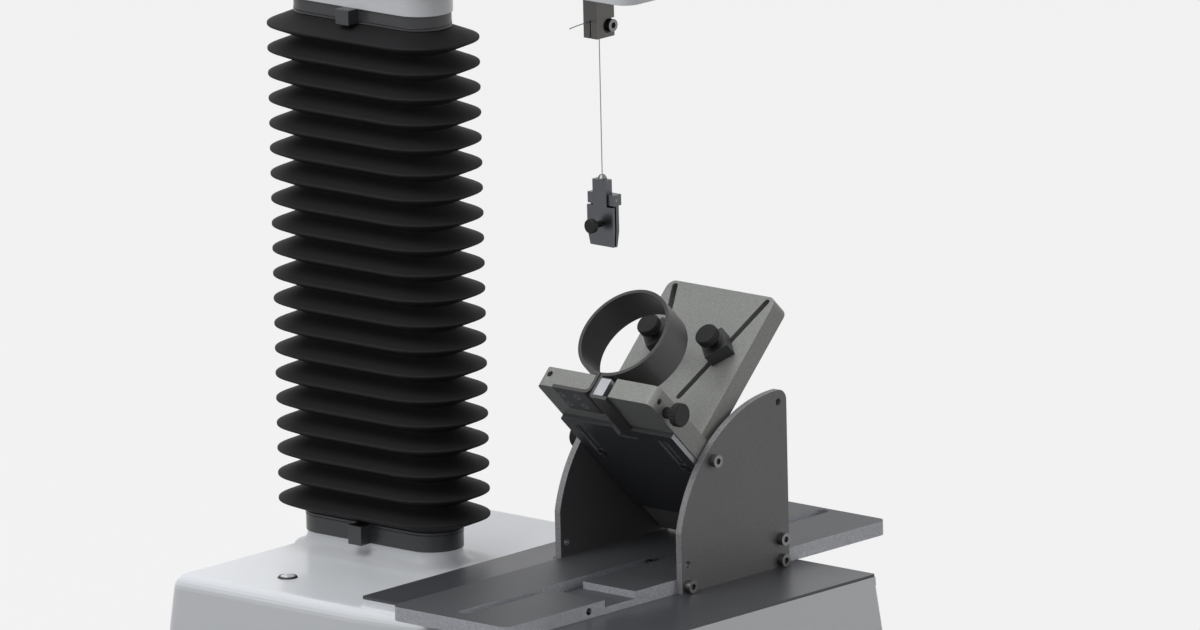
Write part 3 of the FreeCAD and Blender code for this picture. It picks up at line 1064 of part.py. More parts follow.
# Peel fixture on the stage
def make_bench():
    plate_y = about("middle", "plate_half")
    plate = rounded("long_blank", ("-plate_left", "plate_right"), plate_y, ("0", "plate_thick"),
                    "plate_corner")
    slot_ends = ("slot_end_left - plate_left + slot_wide / 2",
                 "plate_right - slot_end_right - slot_wide / 2")
    wide_slot = slot("long_slot", "slot_wide / 2", ("slot_ledge", "plate_thick + 1"), slot_ends, "middle")
    narrow_slot = slot("long_slot_low", "slot_narrow / 2", ("-1", "slot_ledge + 1"), slot_ends, "middle")
    channel = box("cross_channel", ("-channel_left", "channel_wide - channel_left"),
                  ("middle - plate_half - 1", "middle"), ("plate_thick - channel_deep", "plate_thick + 1"))
    tapped = []
    for i in range(3):
        across = "pivot_right - %d * hole_pitch" % i
        for side, span in (("near", ("near_side", "near_side + side_thick + bolt_grip + 1")),
                           ("far", ("far_side - side_thick - bolt_grip - 1", "far_side"))):
            tapped.append(rod("tapped_%s%d" % (side, i), "bolt_radius", "Y", span,
                              (across, "plate_thick / 2")))
    keep(cut("long_whole", plate, wide_slot, narrow_slot, channel, *tapped), "long_plate")
    for side, offset in (("near", "-(near_side + side_thick)"), ("far", "-far_side")):
        body = new_body("side_" + side)
        corners = [
            ("pivot_right - side_left", "0"),
            ("pivot_right + side_margin", "0"),
            ("pivot_right + side_margin", "pivot_z + hole_pitch", "pivot_right", "pivot_z + hole_pitch",
             "side_margin"),
            ("pivot_right", "pivot_z + side_arc", "pivot_right", "pivot_z", "side_arc"),
            ("pivot_right - side_left", "pivot_z + sqrt(side_arc ^ 2 - side_left ^ 2)"),
        ]
        pad(body, outline(body, "XZ_Plane", offset, corners), "side_thick")
        span = ("-(%s) - side_thick - 1" % offset, "-(%s) + 1" % offset)
        holes = []
        for i, (back, rise) in enumerate((("0", "0"), ("0", "-screw_drop"), ("hole_pitch", "-screw_drop"),
                                          ("hole_pitch", "0"), ("hole_pitch * cos(45)",
                                                                "hole_pitch * sin(45)"),
                                          ("0", "hole_pitch"))):
            spot = ("pivot_right - " + back, "pivot_z + (%s)" % rise)
            holes.append(rod("side_%s_hole%d" % (side, i), "bolt_radius + 0.1", "Y", span, spot))
        keep(cut("side_%s_whole" % side, body, *holes), "side_plate_" + side)
    screws = []
    for i, across in enumerate(("pivot_right", "pivot_right - hole_pitch")):
        spot = (across, "plate_thick / 2")
        screws.append(cap_screw("side_screw_near%d" % i, "Y", "near_side", -1, "side_thick + bolt_grip",
                                spot))
        screws.append(cap_screw("side_screw_far%d" % i, "Y", "far_side", 1, "side_thick + bolt_grip", spot))
    keep(group("side_screw_group", *screws), "side_screws")
    lock_spot = ("pivot_right - hole_pitch * cos(45)", "pivot_z + hole_pitch * sin(45)")
    keep(cap_screw("lock_screw_whole", "Y", "near_side", -1, "side_thick + block_gap - 0.3", lock_spot),
         "lock_screw")
    stem = rod("lock_stem", "4.5", "Y", ("far_side", "far_side + 1.5"), lock_spot)
    shank = rod("lock_shank", "bolt_radius", "Y",
                ("far_side - side_thick - block_gap + 0.3", "far_side + 1"), lock_spot)
    no_bore = rod("lock_dimple", "3", "Y", ("far_side + 8.4", "far_side + 10"), lock_spot)
    keep(fluted_knob("lock_knob_whole", "Y", ("far_side + 1.2", "far_side + 9.2"), lock_spot,
                     fuse("lock_middle", stem, shank), no_bore), "lock_knob")
    hold_screws = []
    for i, spot in enumerate(("hold_first", "hold_second")):
        head = rod("hold_head%d" % i, "4.9", "Z", ("slot_ledge", "slot_ledge + 6"), (spot, "middle"))
        hold_shank = rod("hold_shank%d" % i, "hold_radius", "Z",
                         ("-stage_thick - wall - bed_thick + 1.5", "slot_ledge + 1"),
                         (spot, "middle"))
        socket = hexagon("hold_socket%d" % i, "2.9", "Z", ("slot_ledge + 2.7", "slot_ledge + 7"),
                         (spot, "middle"))
        hold_screws.append(cut("hold_screw%d" % i, fuse("hold_blank%d" % i, head, hold_shank), socket))
    keep(group("hold_group", *hold_screws), "hold_down_screws")


def corner_off(name, x, corner, inward, radius, margin="0.4"):
    """What a rounded lower edge along X leaves out of a square one, with its arc's centre inward."""
    centre = ("(%s) + %d * (%s)" % (corner[0], inward, radius), "(%s) + %s" % (corner[1], radius))
    outer = "(%s) - %d * %s" % (corner[0], inward, margin)
    y = (outer, centre[0]) if inward > 0 else (centre[0], outer)
    square = box(name + "_square", x, y, ("(%s) - %s" % (corner[1], margin), centre[1]))
    arc = rod(name + "_arc", radius, "X", ("(%s) - 1" % x[0], "(%s) + 1" % x[1]), centre)
    return cut(name, square, arc)


def make_tilt():
    """The fork block with its strap, drawn level: +Z is away from the block's face, -X runs up it."""
    body = new_body("block_body")
    corners = [
        ("-block_long", "-block_below"),
        ("block_heel - 4", "-block_below", "block_heel - 4", "4 - block_below", "4"),
        ("block_heel", "4 - block_below"),
        ("block_heel", "block_top"),
        ("-block_long", "block_top"),
    ]
    pad(body, outline(body, "XZ_Plane", "-(middle + block_half)", corners), "2 * block_half")
    thick = ("-block_below - 1", "block_top + 1")
    fork = rounded("fork_way", ("-block_long - 20", "-fork_root"), ("fork_right", "left_leg"), thick, "3")
    corner_cuts = []
    for i, (edge, sign) in enumerate((("bar_face", "+"), ("middle + block_half", "-"))):
        centre = "%s %s bar_round" % (edge, sign)
        side = (centre, edge + " + 0.01") if sign == "-" else (edge + " - 0.01", centre)
        tip = box("bar_tip%d" % i, ("-block_long - 0.01", "-block_long + bar_round"), side, thick)
        bar = rod("bar_round%d" % i, "bar_round", "Z", ("-block_below - 2", "block_top + 2"),
                  ("-block_long + bar_round", centre))
        corner_cuts.append(cut("bar_corner%d" % i, tip, bar))
    end_hole = rod("end_hole", "2.25", "X", ("-block_long - 1", "-block_long + 12"), ("42", "4"))
    side_hole = rod("side_hole", "2.25", "Y", ("bar_face - 1", "bar_face + 10"),
                    ("side_hole_inset - block_long", "1.5"))
    jaw_way = rod("jaw_screw_way", "jaw_screw_radius + running_gap", "Y",
                  ("bar_face - 1", "fork_right + 1"),
                  ("-jaw_knob_at", "0"))
    sides = (("bar_face - 1", "bar_face + 8"), ("middle + block_half - 8", "middle + block_half + 1"))
    lock_holes = [rod("lock_hole%d" % i, "bolt_radius + 0.1", "Y", span, ("-hole_pitch", "0")) for i,
                  span in enumerate(sides)]
    pivot_sides = (("bar_face - 1", "bar_face + 13"),
                   ("middle + block_half - 13", "middle + block_half + 1"))
    pivot_holes = [rod("pivot_hole%d" % i, "bolt_radius", "Y", span, ("0", "0")) for i,
                   span in enumerate(pivot_sides)]
    slide_spots = [("-slide_screw_at", y) for y in about("middle", "slide_slot_apart / 2")]
    slide_holes = [rod("slide_hole%d" % i, "2", "Z", ("-block_below - 1", "block_top - 3"), spot)
                   for i, spot in enumerate(slide_spots)]
    foot_room = box("strap_foot_room", ("-block_long - 1", "strap_wide - block_long + seat_gap"),
                    ("left_leg - 1", "strap_gap / 2 + left_foot_long + seat_gap"),
                    ("-block_below - 1", "strap_thick - block_below"))
    edge_room = corner_off("strap_edge_room", ("-block_long - 1", "strap_wide - block_long + seat_gap"),
                           ("left_leg", "strap_thick - block_below"), 1, "strap_bend + 2 * running_gap")
    strap_spots = [(x, y) for x in ("strap_screw_first - block_long", "strap_screw_second - block_long")
                   for y in ("17", "31")]
    strap_holes = [rod("strap_hole%d" % i, "1.5", "Z", ("-block_below - 1", "5.5"), spot)
                   for i, spot in enumerate(strap_spots)]
    keep_tilted(cut("block_whole", body, fork, end_hole, side_hole, jaw_way, foot_room, edge_room,
                    *corner_cuts, *lock_holes,
                    *pivot_holes, *slide_holes, *strap_holes), "tilt_block")
    pivots = [cap_screw("pivot_screw_near", "Y", "near_side", -1, "side_thick + block_gap + 12",
                        ("0", "0")),
              cap_screw("pivot_screw_far", "Y", "far_side", 1, "side_thick + block_gap + 12", ("0", "0"))]
    for i, span in enumerate((("bar_face - 0.8", "bar_face"),
                              ("middle + block_half", "middle + block_half + 0.8"))):
        disc = rod("washer_disc%d" % i, "6", "Y", span)
        bore = rod("washer_bore%d" % i, "bolt_radius + 0.1", "Y",
                   ("(%s) - 1" % span[0], "(%s) + 1" % span[1]))
        pivots.append(cut("washer%d" % i, disc, bore))
    keep_tilted(group("pivot_group", *pivots), "pivot_screws")
    block_screws = []
    for i, spot in enumerate(slide_spots):
        head = rod("slide_head%d" % i, "3.5", "Z", ("slide_under", "slide_under + 2"), spot)
        shank = rod("slide_shank%d" % i, "2", "Z", ("slide_under + 1", "block_top - 4"), spot)
        socket = hexagon("slide_socket%d" % i, "1.5", "Z", ("slide_under - 1", "slide_under + 1.3"), spot)
        block_screws.append(cut("slide_screw%d" % i, fuse("slide_screw_blank%d" % i, head, shank), socket))

    strap_x = ("-block_long", "strap_wide - block_long")
    ring = rod("hoop_outside", "hoop_radius", "X", strap_x, ("0", "hoop_z"))
    ring_way = rod("hoop_inside", "hoop_radius - strap_thick", "X",
                   ("-block_long - 1", "strap_wide - block_long + 1"),
                   ("0", "hoop_z"))
    leg_high = "hoop_z - sqrt((hoop_radius - strap_thick / 2) ^ 2 - left_leg ^ 2)"
    gap_way = box("hoop_gap", ("-block_long - 1", "strap_wide - block_long + 1"),
                  either_side("strap_gap / 2"),
                  ("0", "hoop_z"))
    left = box("strap_left_leg", strap_x, ("strap_gap / 2", "left_leg"), ("-block_below", leg_high))
    right = box("strap_right_leg", strap_x, ("-left_leg", "-strap_gap / 2"), ("strip_low", leg_high))
    left_foot = box("strap_left_foot", strap_x, ("strap_gap / 2", "strap_gap / 2 + left_foot_long"),
                    ("-block_below", "strap_thick - block_below"))
    left_fill = corner_off("strap_left_fill", strap_x, ("left_leg", "strap_thick - block_below"), 1,
                           "strap_bend", "0")
    strip_x = ("-block_long", "right_foot_long - block_long")
    strip = box("strap_strip", strip_x, ("-strap_gap / 2 - right_foot_wide", "-strap_gap / 2"),
                ("strip_low", "strip_low + strap_thick"))
    foot_ways = [corner_off("strap_left_corner", ("-block_long - 1", "strap_wide - block_long + 1"),
                            ("strap_gap / 2", "-block_below"), 1, "strap_bend + strap_thick"),
                 corner_off("strap_right_corner", ("-block_long - 1", "right_foot_long - block_long + 1"),
                            ("-strap_gap / 2", "strip_low"), -1, "strap_bend")]
    sink_z = ("-block_below - 0.01", "-block_below + 1.4")
    for i, spot in enumerate(strap_spots):
        foot_ways.append(rod("strap_way%d" % i, "1.7", "Z", ("-block_below - 1", "0"), spot))
        foot_ways.append(cone("strap_sink%d" % i, "3", "1.7", "Z", sink_z, spot))
    hoop = cut("hoop", ring, ring_way, gap_way)
    keep_tilted(cut("strap_whole", fuse("strap_blank", hoop, left, right, left_foot, left_fill, strip),
                    *foot_ways), "strap")
    for i, spot in enumerate(strap_spots):
        head = cone("strap_head%d" % i, "2.9", "1.6", "Z", ("-block_below", "-block_below + 1.4"), spot)
        shank = rod("strap_shank%d" % i, "1.5", "Z", ("-block_below + 0.5", "4"), spot)
        socket = hexagon("strap_socket%d" % i, "1.15", "Z", ("-block_below - 1", "-block_below + 1"), spot)
        block_screws.append(cut("strap_screw%d" % i, fuse("strap_screw_blank%d" % i, head, shank), socket))
    keep_tilted(group("block_screw_group", *block_screws), "block_screws")

    jaw_x = ("-block_long", "strap_jaw_long - block_long")
    jaw_block = box("strap_jaw_block", jaw_x, ("jaw_front", "-left_leg"),
                    ("-block_below", "block_top - 1.5"))
    jaw_crown = taper("strap_jaw_crown", ("block_top - 1.5", "block_top"),
                      (jaw_x, ("jaw_front", "-left_leg")),
                      (("1.5 - block_long", "strap_jaw_long - block_long - 1.5"),
                       ("jaw_front + 1.5", "-left_leg - 0.4")))
    jaw_bore = rod("strap_jaw_bore", "jaw_screw_radius + running_gap", "Y",
                   ("jaw_front - 1", "1 - left_leg"),
                   ("-jaw_knob_at", "0"))
    keep_tilted(cut("strap_jaw_whole", fuse("strap_jaw_blank", jaw_block, jaw_crown), jaw_bore),
                "strap_jaw")
    spot = ("-jaw_knob_at", "0")
    knob_span = ("bar_face - jaw_knob_out - knob_thick", "bar_face - jaw_knob_out")
    boss = rod("jaw_knob_boss", "4", "Y", ("bar_face - jaw_knob_out - 0.5", "bar_face - 0.3"), spot)
    bore = rod("jaw_knob_bore", "jaw_screw_radius", "Y",
               ("bar_face - jaw_knob_out - knob_thick / 2", "bar_face"), spot)
    keep_tilted(fluted_knob("jaw_knob_whole", "Y", knob_span, spot, boss, bore), "jaw_knob")
    jaw_screw = rod("jaw_screw_rod", "jaw_screw_radius", "Y",
                    ("bar_face - jaw_knob_out - knob_thick / 2", "jaw_front + 4.2"), spot)
    keep_tilted(group("jaw_screw_group", jaw_screw), "jaw_screw")


def make_back_stop():
    """The slide under the fork, its upright and the two pegs."""
    slide = rounded("slide_blank", ("-slide_high", "-slide_low"), about("middle", "slide_wide / 2"),
                    ("slide_under", "slide_top"), "2")
    foot_way = box("slide_foot_way", ("-slide_high - 1", "right_foot_long - block_long + slide_gap"),
                   ("-strap_gap / 2 - right_foot_wide - slide_gap", "slide_gap - strap_gap / 2"),
                   ("slide_under - 1", "slide_top + 1"))
    ways = [foot_way]
    for i, y in enumerate(about("middle", "slide_slot_apart / 2")):
        ends = ("slide_slot_wide / 2 - slide_slot_high", "-slide_slot_low - slide_slot_wide / 2")
        ways.append(slot("slide_slot%d" % i, "slide_slot_wide / 2",
                         ("slide_under - 1", "slide_under + 2"), ends, y))
        ways.append(slot("slide_slot_top%d" % i, "2.3", ("slide_under", "slide_top + 1"), ends, y))
    keep_tilted(cut("slide_whole", slide, *ways), "slide_plate")
    face_x = ("-upright_face", "upright_thick - upright_face")
    low = box("upright_low_half", face_x, about("middle", "upright_wide / 2"),
              ("upright_low", "upright_top - upright_corner"))
    high = box("upright_high_half", face_x, about("middle", "upright_wide / 2 - upright_corner"),
               ("upright_low", "upright_top"))
    corners = [rod("upright_corner%d" % i, "upright_corner", "X", face_x,
                   (y, "upright_top - upright_corner"))
               for i, y in enumerate(about("middle", "upright_wide / 2 - upright_corner"))]
    tongue = box("upright_tongue", face_x, ("fork_right + 0.15", "left_leg - 0.15"),
                 ("slide_top", "upright_low + 1"))
    cuts = []
    lean = math.degrees(math.atan2(num("vee_top_out - vee_low_out"), num("vee_top - vee_low")))
    through = ("-upright_face - 1", "upright_thick - upright_face + 1")
    for i, sign in enumerate((-1, 1)):
        top = ("middle + %d * vee_top_out" % sign, "vee_top")
        bottom = ("middle + %d * vee_low_out" % sign, "vee_low")
        cuts.append(rod("vee_top%d" % i, "vee_slot_wide / 2", "X", through, top))
        cuts.append(rod("vee_low%d" % i, "vee_slot_wide / 2", "X", through, bottom))
        run = doc.addObject("Part::Box", "vee_run%d" % i)
        bind(run, Length="upright_thick + 2", Width="vee_slot_wide",
             Height="sqrt((vee_top_out - vee_low_out) ^ 2 + (vee_top - vee_low) ^ 2)")
        turn = FreeCAD.Rotation(X_AXIS, -sign * lean)
        corner = turn.multVec(FreeCAD.Vector(0, -num("vee_slot_wide") / 2, 0))
        run.Placement = FreeCAD.Placement(FreeCAD.Vector(), turn)
        put(run, through[0], "%s + %.6f" % (bottom[0], corner.y), "%s + %.6f" % (bottom[1], corner.z))
        cuts.append(run)
    keep_tilted(cut("upright_whole", fuse("upright_blank", low, high, tongue, *corners), *cuts), "upright")
    for side, sign in (("right", -1), ("left", 1)):
        spot = ("middle + %d * peg_out" % sign, "peg_height")
        peg = doc.addObject("Part::Box", side + "_peg_block")
        bind(peg, Length="peg_deep", Width="peg_side", Height="peg_side")
        put(peg, "-upright_face - peg_deep", spot[0], "%s - peg_side * sqrt(0.5)" % spot[1], X_AXIS, "45")
        nut = doc.addObject("Part::Box", side + "_peg_nut")
        bind(nut, Length="peg_nut_thick", Width="peg_nut_side", Height="peg_nut_side")
        put(nut, "upright_thick - upright_face", spot[0], "%s - peg_nut_side * sqrt(0.5)" % spot[1],
            X_AXIS, "45")
        stud = rod(side + "_peg_stud", "peg_stud_radius", "X",
                   ("-upright_face - peg_knob_out + knob_thick - 2", "upright_thick - upright_face + 1"),
                   spot)
        keep_tilted(fuse(side + "_peg_whole", peg, nut, stud), side + "_peg")
        knob_face = "-upright_face - peg_knob_out"
        boss = rod(side + "_knob_boss", "4", "X",
                   (knob_face + " + knob_thick - 0.5", "-upright_face - peg_deep"), spot)
        bore = rod(side + "_knob_bore", "peg_stud_radius + running_gap", "X",
                   (knob_face + " + knob_thick - 2.5", "-upright_face"), spot)
        keep_tilted(fluted_knob(side + "_knob_whole", "X", (knob_face, knob_face + " + knob_thick"), spot,
                                boss, bore), side + "_knob")


make_base()
make_column()
make_crosshead()
make_grip()
make_bench()
make_tilt()
make_back_stop()
doc.recompute()

# Checks, then one STEP file for each sub-part
faults = [thing.Name for thing in doc.Objects if "Invalid" in thing.State or "Error" in thing.State]
for part in PARTS:
    if part.Shape.isNull() or not part.Shape.isValid() or not part.Shape.Solids:
        faults.append(part.Label)
if faults:
    raise SystemExit("not built: " + ", ".join(faults))
os.makedirs("parts", exist_ok=True)
for part in PARTS:
    part.Shape.exportStep("parts/%s.step" % part.Label)
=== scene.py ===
import json
import math

import bmesh
import bpy
from mathutils import Matrix, Vector


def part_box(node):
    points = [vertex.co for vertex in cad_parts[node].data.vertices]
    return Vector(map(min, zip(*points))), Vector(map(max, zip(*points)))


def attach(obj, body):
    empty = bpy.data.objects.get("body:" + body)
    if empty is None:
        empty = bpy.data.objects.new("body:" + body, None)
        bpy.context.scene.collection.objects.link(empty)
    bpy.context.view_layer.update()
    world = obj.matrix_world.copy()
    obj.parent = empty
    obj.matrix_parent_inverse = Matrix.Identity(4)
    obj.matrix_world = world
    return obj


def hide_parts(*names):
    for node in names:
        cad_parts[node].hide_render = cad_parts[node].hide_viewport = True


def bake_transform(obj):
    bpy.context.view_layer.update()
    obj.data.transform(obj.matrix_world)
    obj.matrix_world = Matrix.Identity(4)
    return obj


# A bench peel test rig in a pale studio. Metres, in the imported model's frame.
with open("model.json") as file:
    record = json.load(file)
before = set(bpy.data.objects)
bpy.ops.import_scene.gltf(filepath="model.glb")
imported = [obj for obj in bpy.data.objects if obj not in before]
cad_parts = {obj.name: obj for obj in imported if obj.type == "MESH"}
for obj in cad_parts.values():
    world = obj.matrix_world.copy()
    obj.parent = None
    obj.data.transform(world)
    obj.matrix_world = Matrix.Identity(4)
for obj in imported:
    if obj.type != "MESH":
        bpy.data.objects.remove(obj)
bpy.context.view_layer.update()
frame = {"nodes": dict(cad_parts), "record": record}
NODES = frame["nodes"]
MM = 0.001
MM_PER_METRE = (1000.0, 1000.0, 1000.0)
WELD = 1e-6

# Places on the rig, in millimetres, as in the part's source
COLUMN_Y = 209.0
COLUMN_RUN = 45.0
FLOOR_Z = -115.0


# Camera: the photograph is close to an orthographic view, so the lens is very long.
# ANCHOR is a point on the fixture in millimetres, ANCHOR_PX its place in the picture.
PHOTO_WIDTH = 1200.0
PHOTO_HEIGHT = 630.0
PX_PER_MM = 1.46
ANCHOR = Vector((106.8, -61.0, 19.8))
ANCHOR_PX = (781.3, 538.2)
VIEW_RIGHT = Vector((0.9737, -1.0876, -0.0313)).normalized()
VIEW_UP = Vector((0.2644, 0.1957, 1.4225)).normalized()
CAMERA_FAR = 16000.0
SENSOR = 36.0


def linked(name, data):
    """A new object in the scene."""
    made = bpy.data.objects.new(name, data)
    bpy.context.scene.collection.objects.link(made)
    return made


def add_camera():
    """Stands the camera where the photograph was taken from."""
    data = bpy.data.cameras.new("camera")
    camera = linked("camera", data)
    back = VIEW_RIGHT.cross(VIEW_UP)
    across = (PHOTO_WIDTH / 2 - ANCHOR_PX[0]) / PX_PER_MM
    rise = (ANCHOR_PX[1] - PHOTO_HEIGHT / 2) / PX_PER_MM
    centre = ANCHOR + VIEW_RIGHT * across + VIEW_UP * rise
    spot = (centre + back * CAMERA_FAR) * MM
    turn = Matrix((VIEW_RIGHT, VIEW_UP, back)).transposed().to_4x4()
    camera.matrix_world = Matrix.Translation(spot) @ turn
    data.sensor_width = SENSOR
    data.lens = SENSOR * CAMERA_FAR / (PHOTO_WIDTH / PX_PER_MM)
    data.clip_start = 1.0
    data.clip_end = 200.0
    bpy.context.scene.camera = camera


add_camera()


# Finishes
class Signal:
    """A socket that adds Math nodes when it is used in an expression."""

    def __init__(self, finish, socket):
        self.finish = finish
        self.socket = socket

    def combine(self, operation, first, second):
        """The result of one Math node."""
        made = self.finish.node("ShaderNodeMath", {"operation": operation}, {0: first, 1: second})
        return Signal(self.finish, made.outputs[0])

    def __add__(self, other):
        return self.combine("ADD", self, other)

    __radd__ = __add__

    def __mul__(self, other):
        return self.combine("MULTIPLY", self, other)

    __rmul__ = __mul__


class Finish:
    """A material with one main shader and helpers for what varies over it."""

    def __init__(self, name, colour, roughness=0.5, metallic=0.0, coat=0.0, specular=0.5):
        self.material = bpy.data.materials.new(name)
        self.material.use_nodes = True
        self.tree = self.material.node_tree
        self.shader = self.tree.nodes["Principled BSDF"]
        self.set("Base Color", (*colour, 1.0))
        self.set("Roughness", roughness)
        self.set("Metallic", metallic)
        self.set("Coat Weight", coat)
        self.set("Specular IOR Level", specular)

    def join(self, socket, value):
        """Links a value that is a socket, and stores one that is a number or a colour."""
        if isinstance(value, Signal):
            value = value.socket
        if isinstance(value, bpy.types.NodeSocket):
            self.tree.links.new(value, socket)
        else:
            socket.default_value = value

    def set(self, name, value):
        """Gives the main shader's input a value."""
        self.join(self.shader.inputs[name], value)

    def node(self, kind, settings=None, inputs=None):
        """A node of the named type, with its settings and then its inputs."""
        made = self.tree.nodes.new(kind)
        for name, value in (settings or {}).items():
            setattr(made, name, value)
        for name, value in (inputs or {}).items():
            self.join(made.inputs[name], value)
        return made

    def place(self):
        """Object coordinates in millimetres."""
        spot = self.node("ShaderNodeTexCoord").outputs["Object"]
        made = self.node("ShaderNodeMapping", None, {"Vector": spot, "Scale": MM_PER_METRE})
        return made.outputs["Vector"]

    def noise(self, grain, detail):
        """Soft noise whose features are about grain millimetres across."""
        made = self.node("ShaderNodeTexNoise", None,
                         {"Vector": self.place(), "Scale": 1.0 / grain, "Detail": detail})
        return Signal(self, made.outputs["Fac"])

    def cells(self, grain):
        """Random grey cells about grain millimetres across."""
        made = self.node("ShaderNodeTexVoronoi", None,
                         {"Vector": self.place(), "Scale": 1.0 / grain})
        parts = self.node("ShaderNodeSeparateColor", None, {0: made.outputs["Color"]})
        return Signal(self, parts.outputs[0])

    def blend(self, factor, first, second):
        """A colour between two, by factor."""
        made = self.node("ShaderNodeMix", {"data_type": "RGBA"})
        self.join(made.inputs[0], factor)
        self.join(made.inputs[6], first if not isinstance(first, tuple) else (*first, 1.0))
        self.join(made.inputs[7], second if not isinstance(second, tuple) else (*second, 1.0))
        return made.outputs[2]

    def ramp(self, value, low, high):
        """0 at low and 1 at high, clamped."""
        made = self.node("ShaderNodeMapRange", None,
                         {"Value": value, "From Min": low, "From Max": high})
        return Signal(self, made.outputs["Result"])

    def bump(self, height, depth, normal=None):
        """Adds relief: height from 0 to 1 times depth millimetres."""
        inputs = {"Height": height, "Strength": 1.0, "Distance": depth * MM}
        if normal is not None:
            inputs["Normal"] = normal
        self.set("Normal", self.node("ShaderNodeBump", None, inputs).outputs["Normal"])

    def soft_edges(self, radius):
        """A normal that rounds sharp edges by radius millimetres."""
        made = self.node("ShaderNodeBevel", {"samples": 4}, {"Radius": radius * MM})
        return made.outputs["Normal"]

    def edge_mask(self, radius):
        """1 along sharp edges, 0 on flats."""
        bevel = self.soft_edges(radius)
        flat = self.node("ShaderNodeNewGeometry").outputs["True Normal"]
        dot = self.node("ShaderNodeVectorMath", {"operation": "DOT_PRODUCT"},
                        {0: bevel, 1: flat})
        return self.ramp(Signal(self, dot.outputs["Value"]), 0.995, 0.9)

    def side_mask(self, axis):
        """1 on faces that stand along an axis, 0 on those that face along it."""
        normal = self.node("ShaderNodeNewGeometry").outputs["True Normal"]
        along = Signal(self, self.node("ShaderNodeSeparateXYZ", None, {0: normal}).outputs[axis])
        return self.ramp(along * along, 0.3, 0.1)


def shade(colour, factor):
    """A colour made lighter or darker."""
    return tuple(min(1.0, part * factor) for part in colour)


def moulding(name, colour):
    """White lacquered moulding: faint waviness, a little orange peel and soft edges."""
    made = Finish(name, colour, roughness=0.3, coat=0.25)
    drift = made.noise(60.0, 3.0)
    made.set("Base Color", made.blend(drift, shade(colour, 0.975), shade(colour, 1.02)))
    made.set("Roughness", made.noise(9.0, 4.0) * 0.08 + 0.27)
    made.bump(made.noise(2.2, 2.0), 0.012, made.soft_edges(0.5))
    return made


def blasted(name, colour, contrast, roughness, metallic=0.2, edge=1.7, sides=1.0, side_axis="Z"):
    """Bead blasted and anodised alloy: fine sparkle, slow drift and a painted highlight along sharp
    edges.
    Faces that stand along the named axis get painted light, as bright as sides says."""
    made = Finish(name, colour, roughness=roughness, metallic=metallic)
    sparkle = made.cells(0.55) * 0.65 + made.noise(1.1, 3.0) * 0.35
    drift = made.noise(45.0, 2.0)
    dark = shade(colour, 1.0 - contrast)
    light = shade(colour, 1.0 + contrast)
    body = made.blend(sparkle * 0.75 + drift * 0.25, dark, light)
    # Painted light: faces that stand along the axis are painted lighter, as if more lamp light fell
    # on them.
    if sides != 1.0:
        lit_side = made.blend(sparkle, shade(colour, sides * 0.6), shade(colour, sides * 1.4))
        body = made.blend(made.side_mask(side_axis), body, lit_side)
    # Painted highlight: sharp edges are painted lighter, toward the colour times edge.
    made.set("Base Color", made.blend(made.edge_mask(0.35) * 0.75, body, shade(colour, edge)))
    made.set("Roughness", sparkle * 0.16 + (roughness - 0.08))
    made.bump(sparkle, 0.02, made.soft_edges(0.35))
    return made


def satin_metal(name, colour, roughness=0.34):
    """Machined steel or alloy: fine tool lines and a little uneven sheen."""
    made = Finish(name, colour, roughness=roughness, metallic=1.0)
    lines = made.noise(0.5, 3.0)
    drift = made.noise(6.0, 2.0)
    made.set("Base Color", made.blend(drift * 0.6 + lines * 0.4,
                                      shade(colour, 0.85), shade(colour, 1.12)))
    made.set("Roughness", lines * 0.12 + drift * 0.1 + (roughness - 0.11))
    made.bump(lines, 0.006, made.soft_edges(0.2))
    return made


def sheet_rubber(name, colour):
    """Coated bellows cloth: matt, with a fine weave under the coating and patchy tone."""
    made = Finish(name, colour, roughness=0.7, specular=0.22)
    weave = made.noise(0.9, 2.0)
    drift = made.noise(22.0, 3.0)
    made.set("Base Color", made.blend(drift * 0.7 + weave * 0.3,
                                      shade(colour, 0.8), shade(colour, 1.35)))
    made.set("Roughness", drift * 0.14 + weave * 0.06 + 0.6)
    made.bump(weave, 0.03)
    return made


def satin_paint(name, colour, roughness=0.42, metallic=0.0, edge=1.25):
    """Sprayed satin coat with fine texture and a painted highlight along its edges."""
    made = Finish(name, colour, roughness=roughness, metallic=metallic)
    grain = made.noise(0.7, 3.0)
    drift = made.noise(35.0, 3.0)
    body = made.blend(grain * 0.4 + drift * 0.6, shade(colour, 0.88), shade(colour, 1.14))
    # Painted highlight: sharp edges are painted lighter, toward the colour times edge.
    made.set("Base Color", made.blend(made.edge_mask(0.3) * 0.6, body, shade(colour, edge)))
    made.set("Roughness", grain * 0.1 + drift * 0.08 + (roughness - 0.09))
    made.bump(grain, 0.015, made.soft_edges(0.3))
    return made


def black_plastic(name, colour, roughness=0.45, specular=0.5):
    """Moulded black plastic."""
    made = Finish(name, colour, roughness=roughness, specular=specular)
    grain = made.noise(0.45, 2.0)
    made.set("Base Color", made.blend(made.noise(5.0, 2.0), shade(colour, 0.8), shade(colour, 1.3)))
    made.set("Roughness", grain * 0.12 + (roughness - 0.06))
    made.bump(grain, 0.012, made.soft_edges(0.3))
    return made


def clear_vial(name):
    """The level's domed vial: pale liquid under a bright cap."""
    made = Finish(name, (0.62, 0.66, 0.6), roughness=0.06, coat=0.6)
    made.set("Base Color", made.blend(made.noise(4.0, 1.0), (0.55, 0.6, 0.55), (0.72, 0.75, 0.7)))
    return made
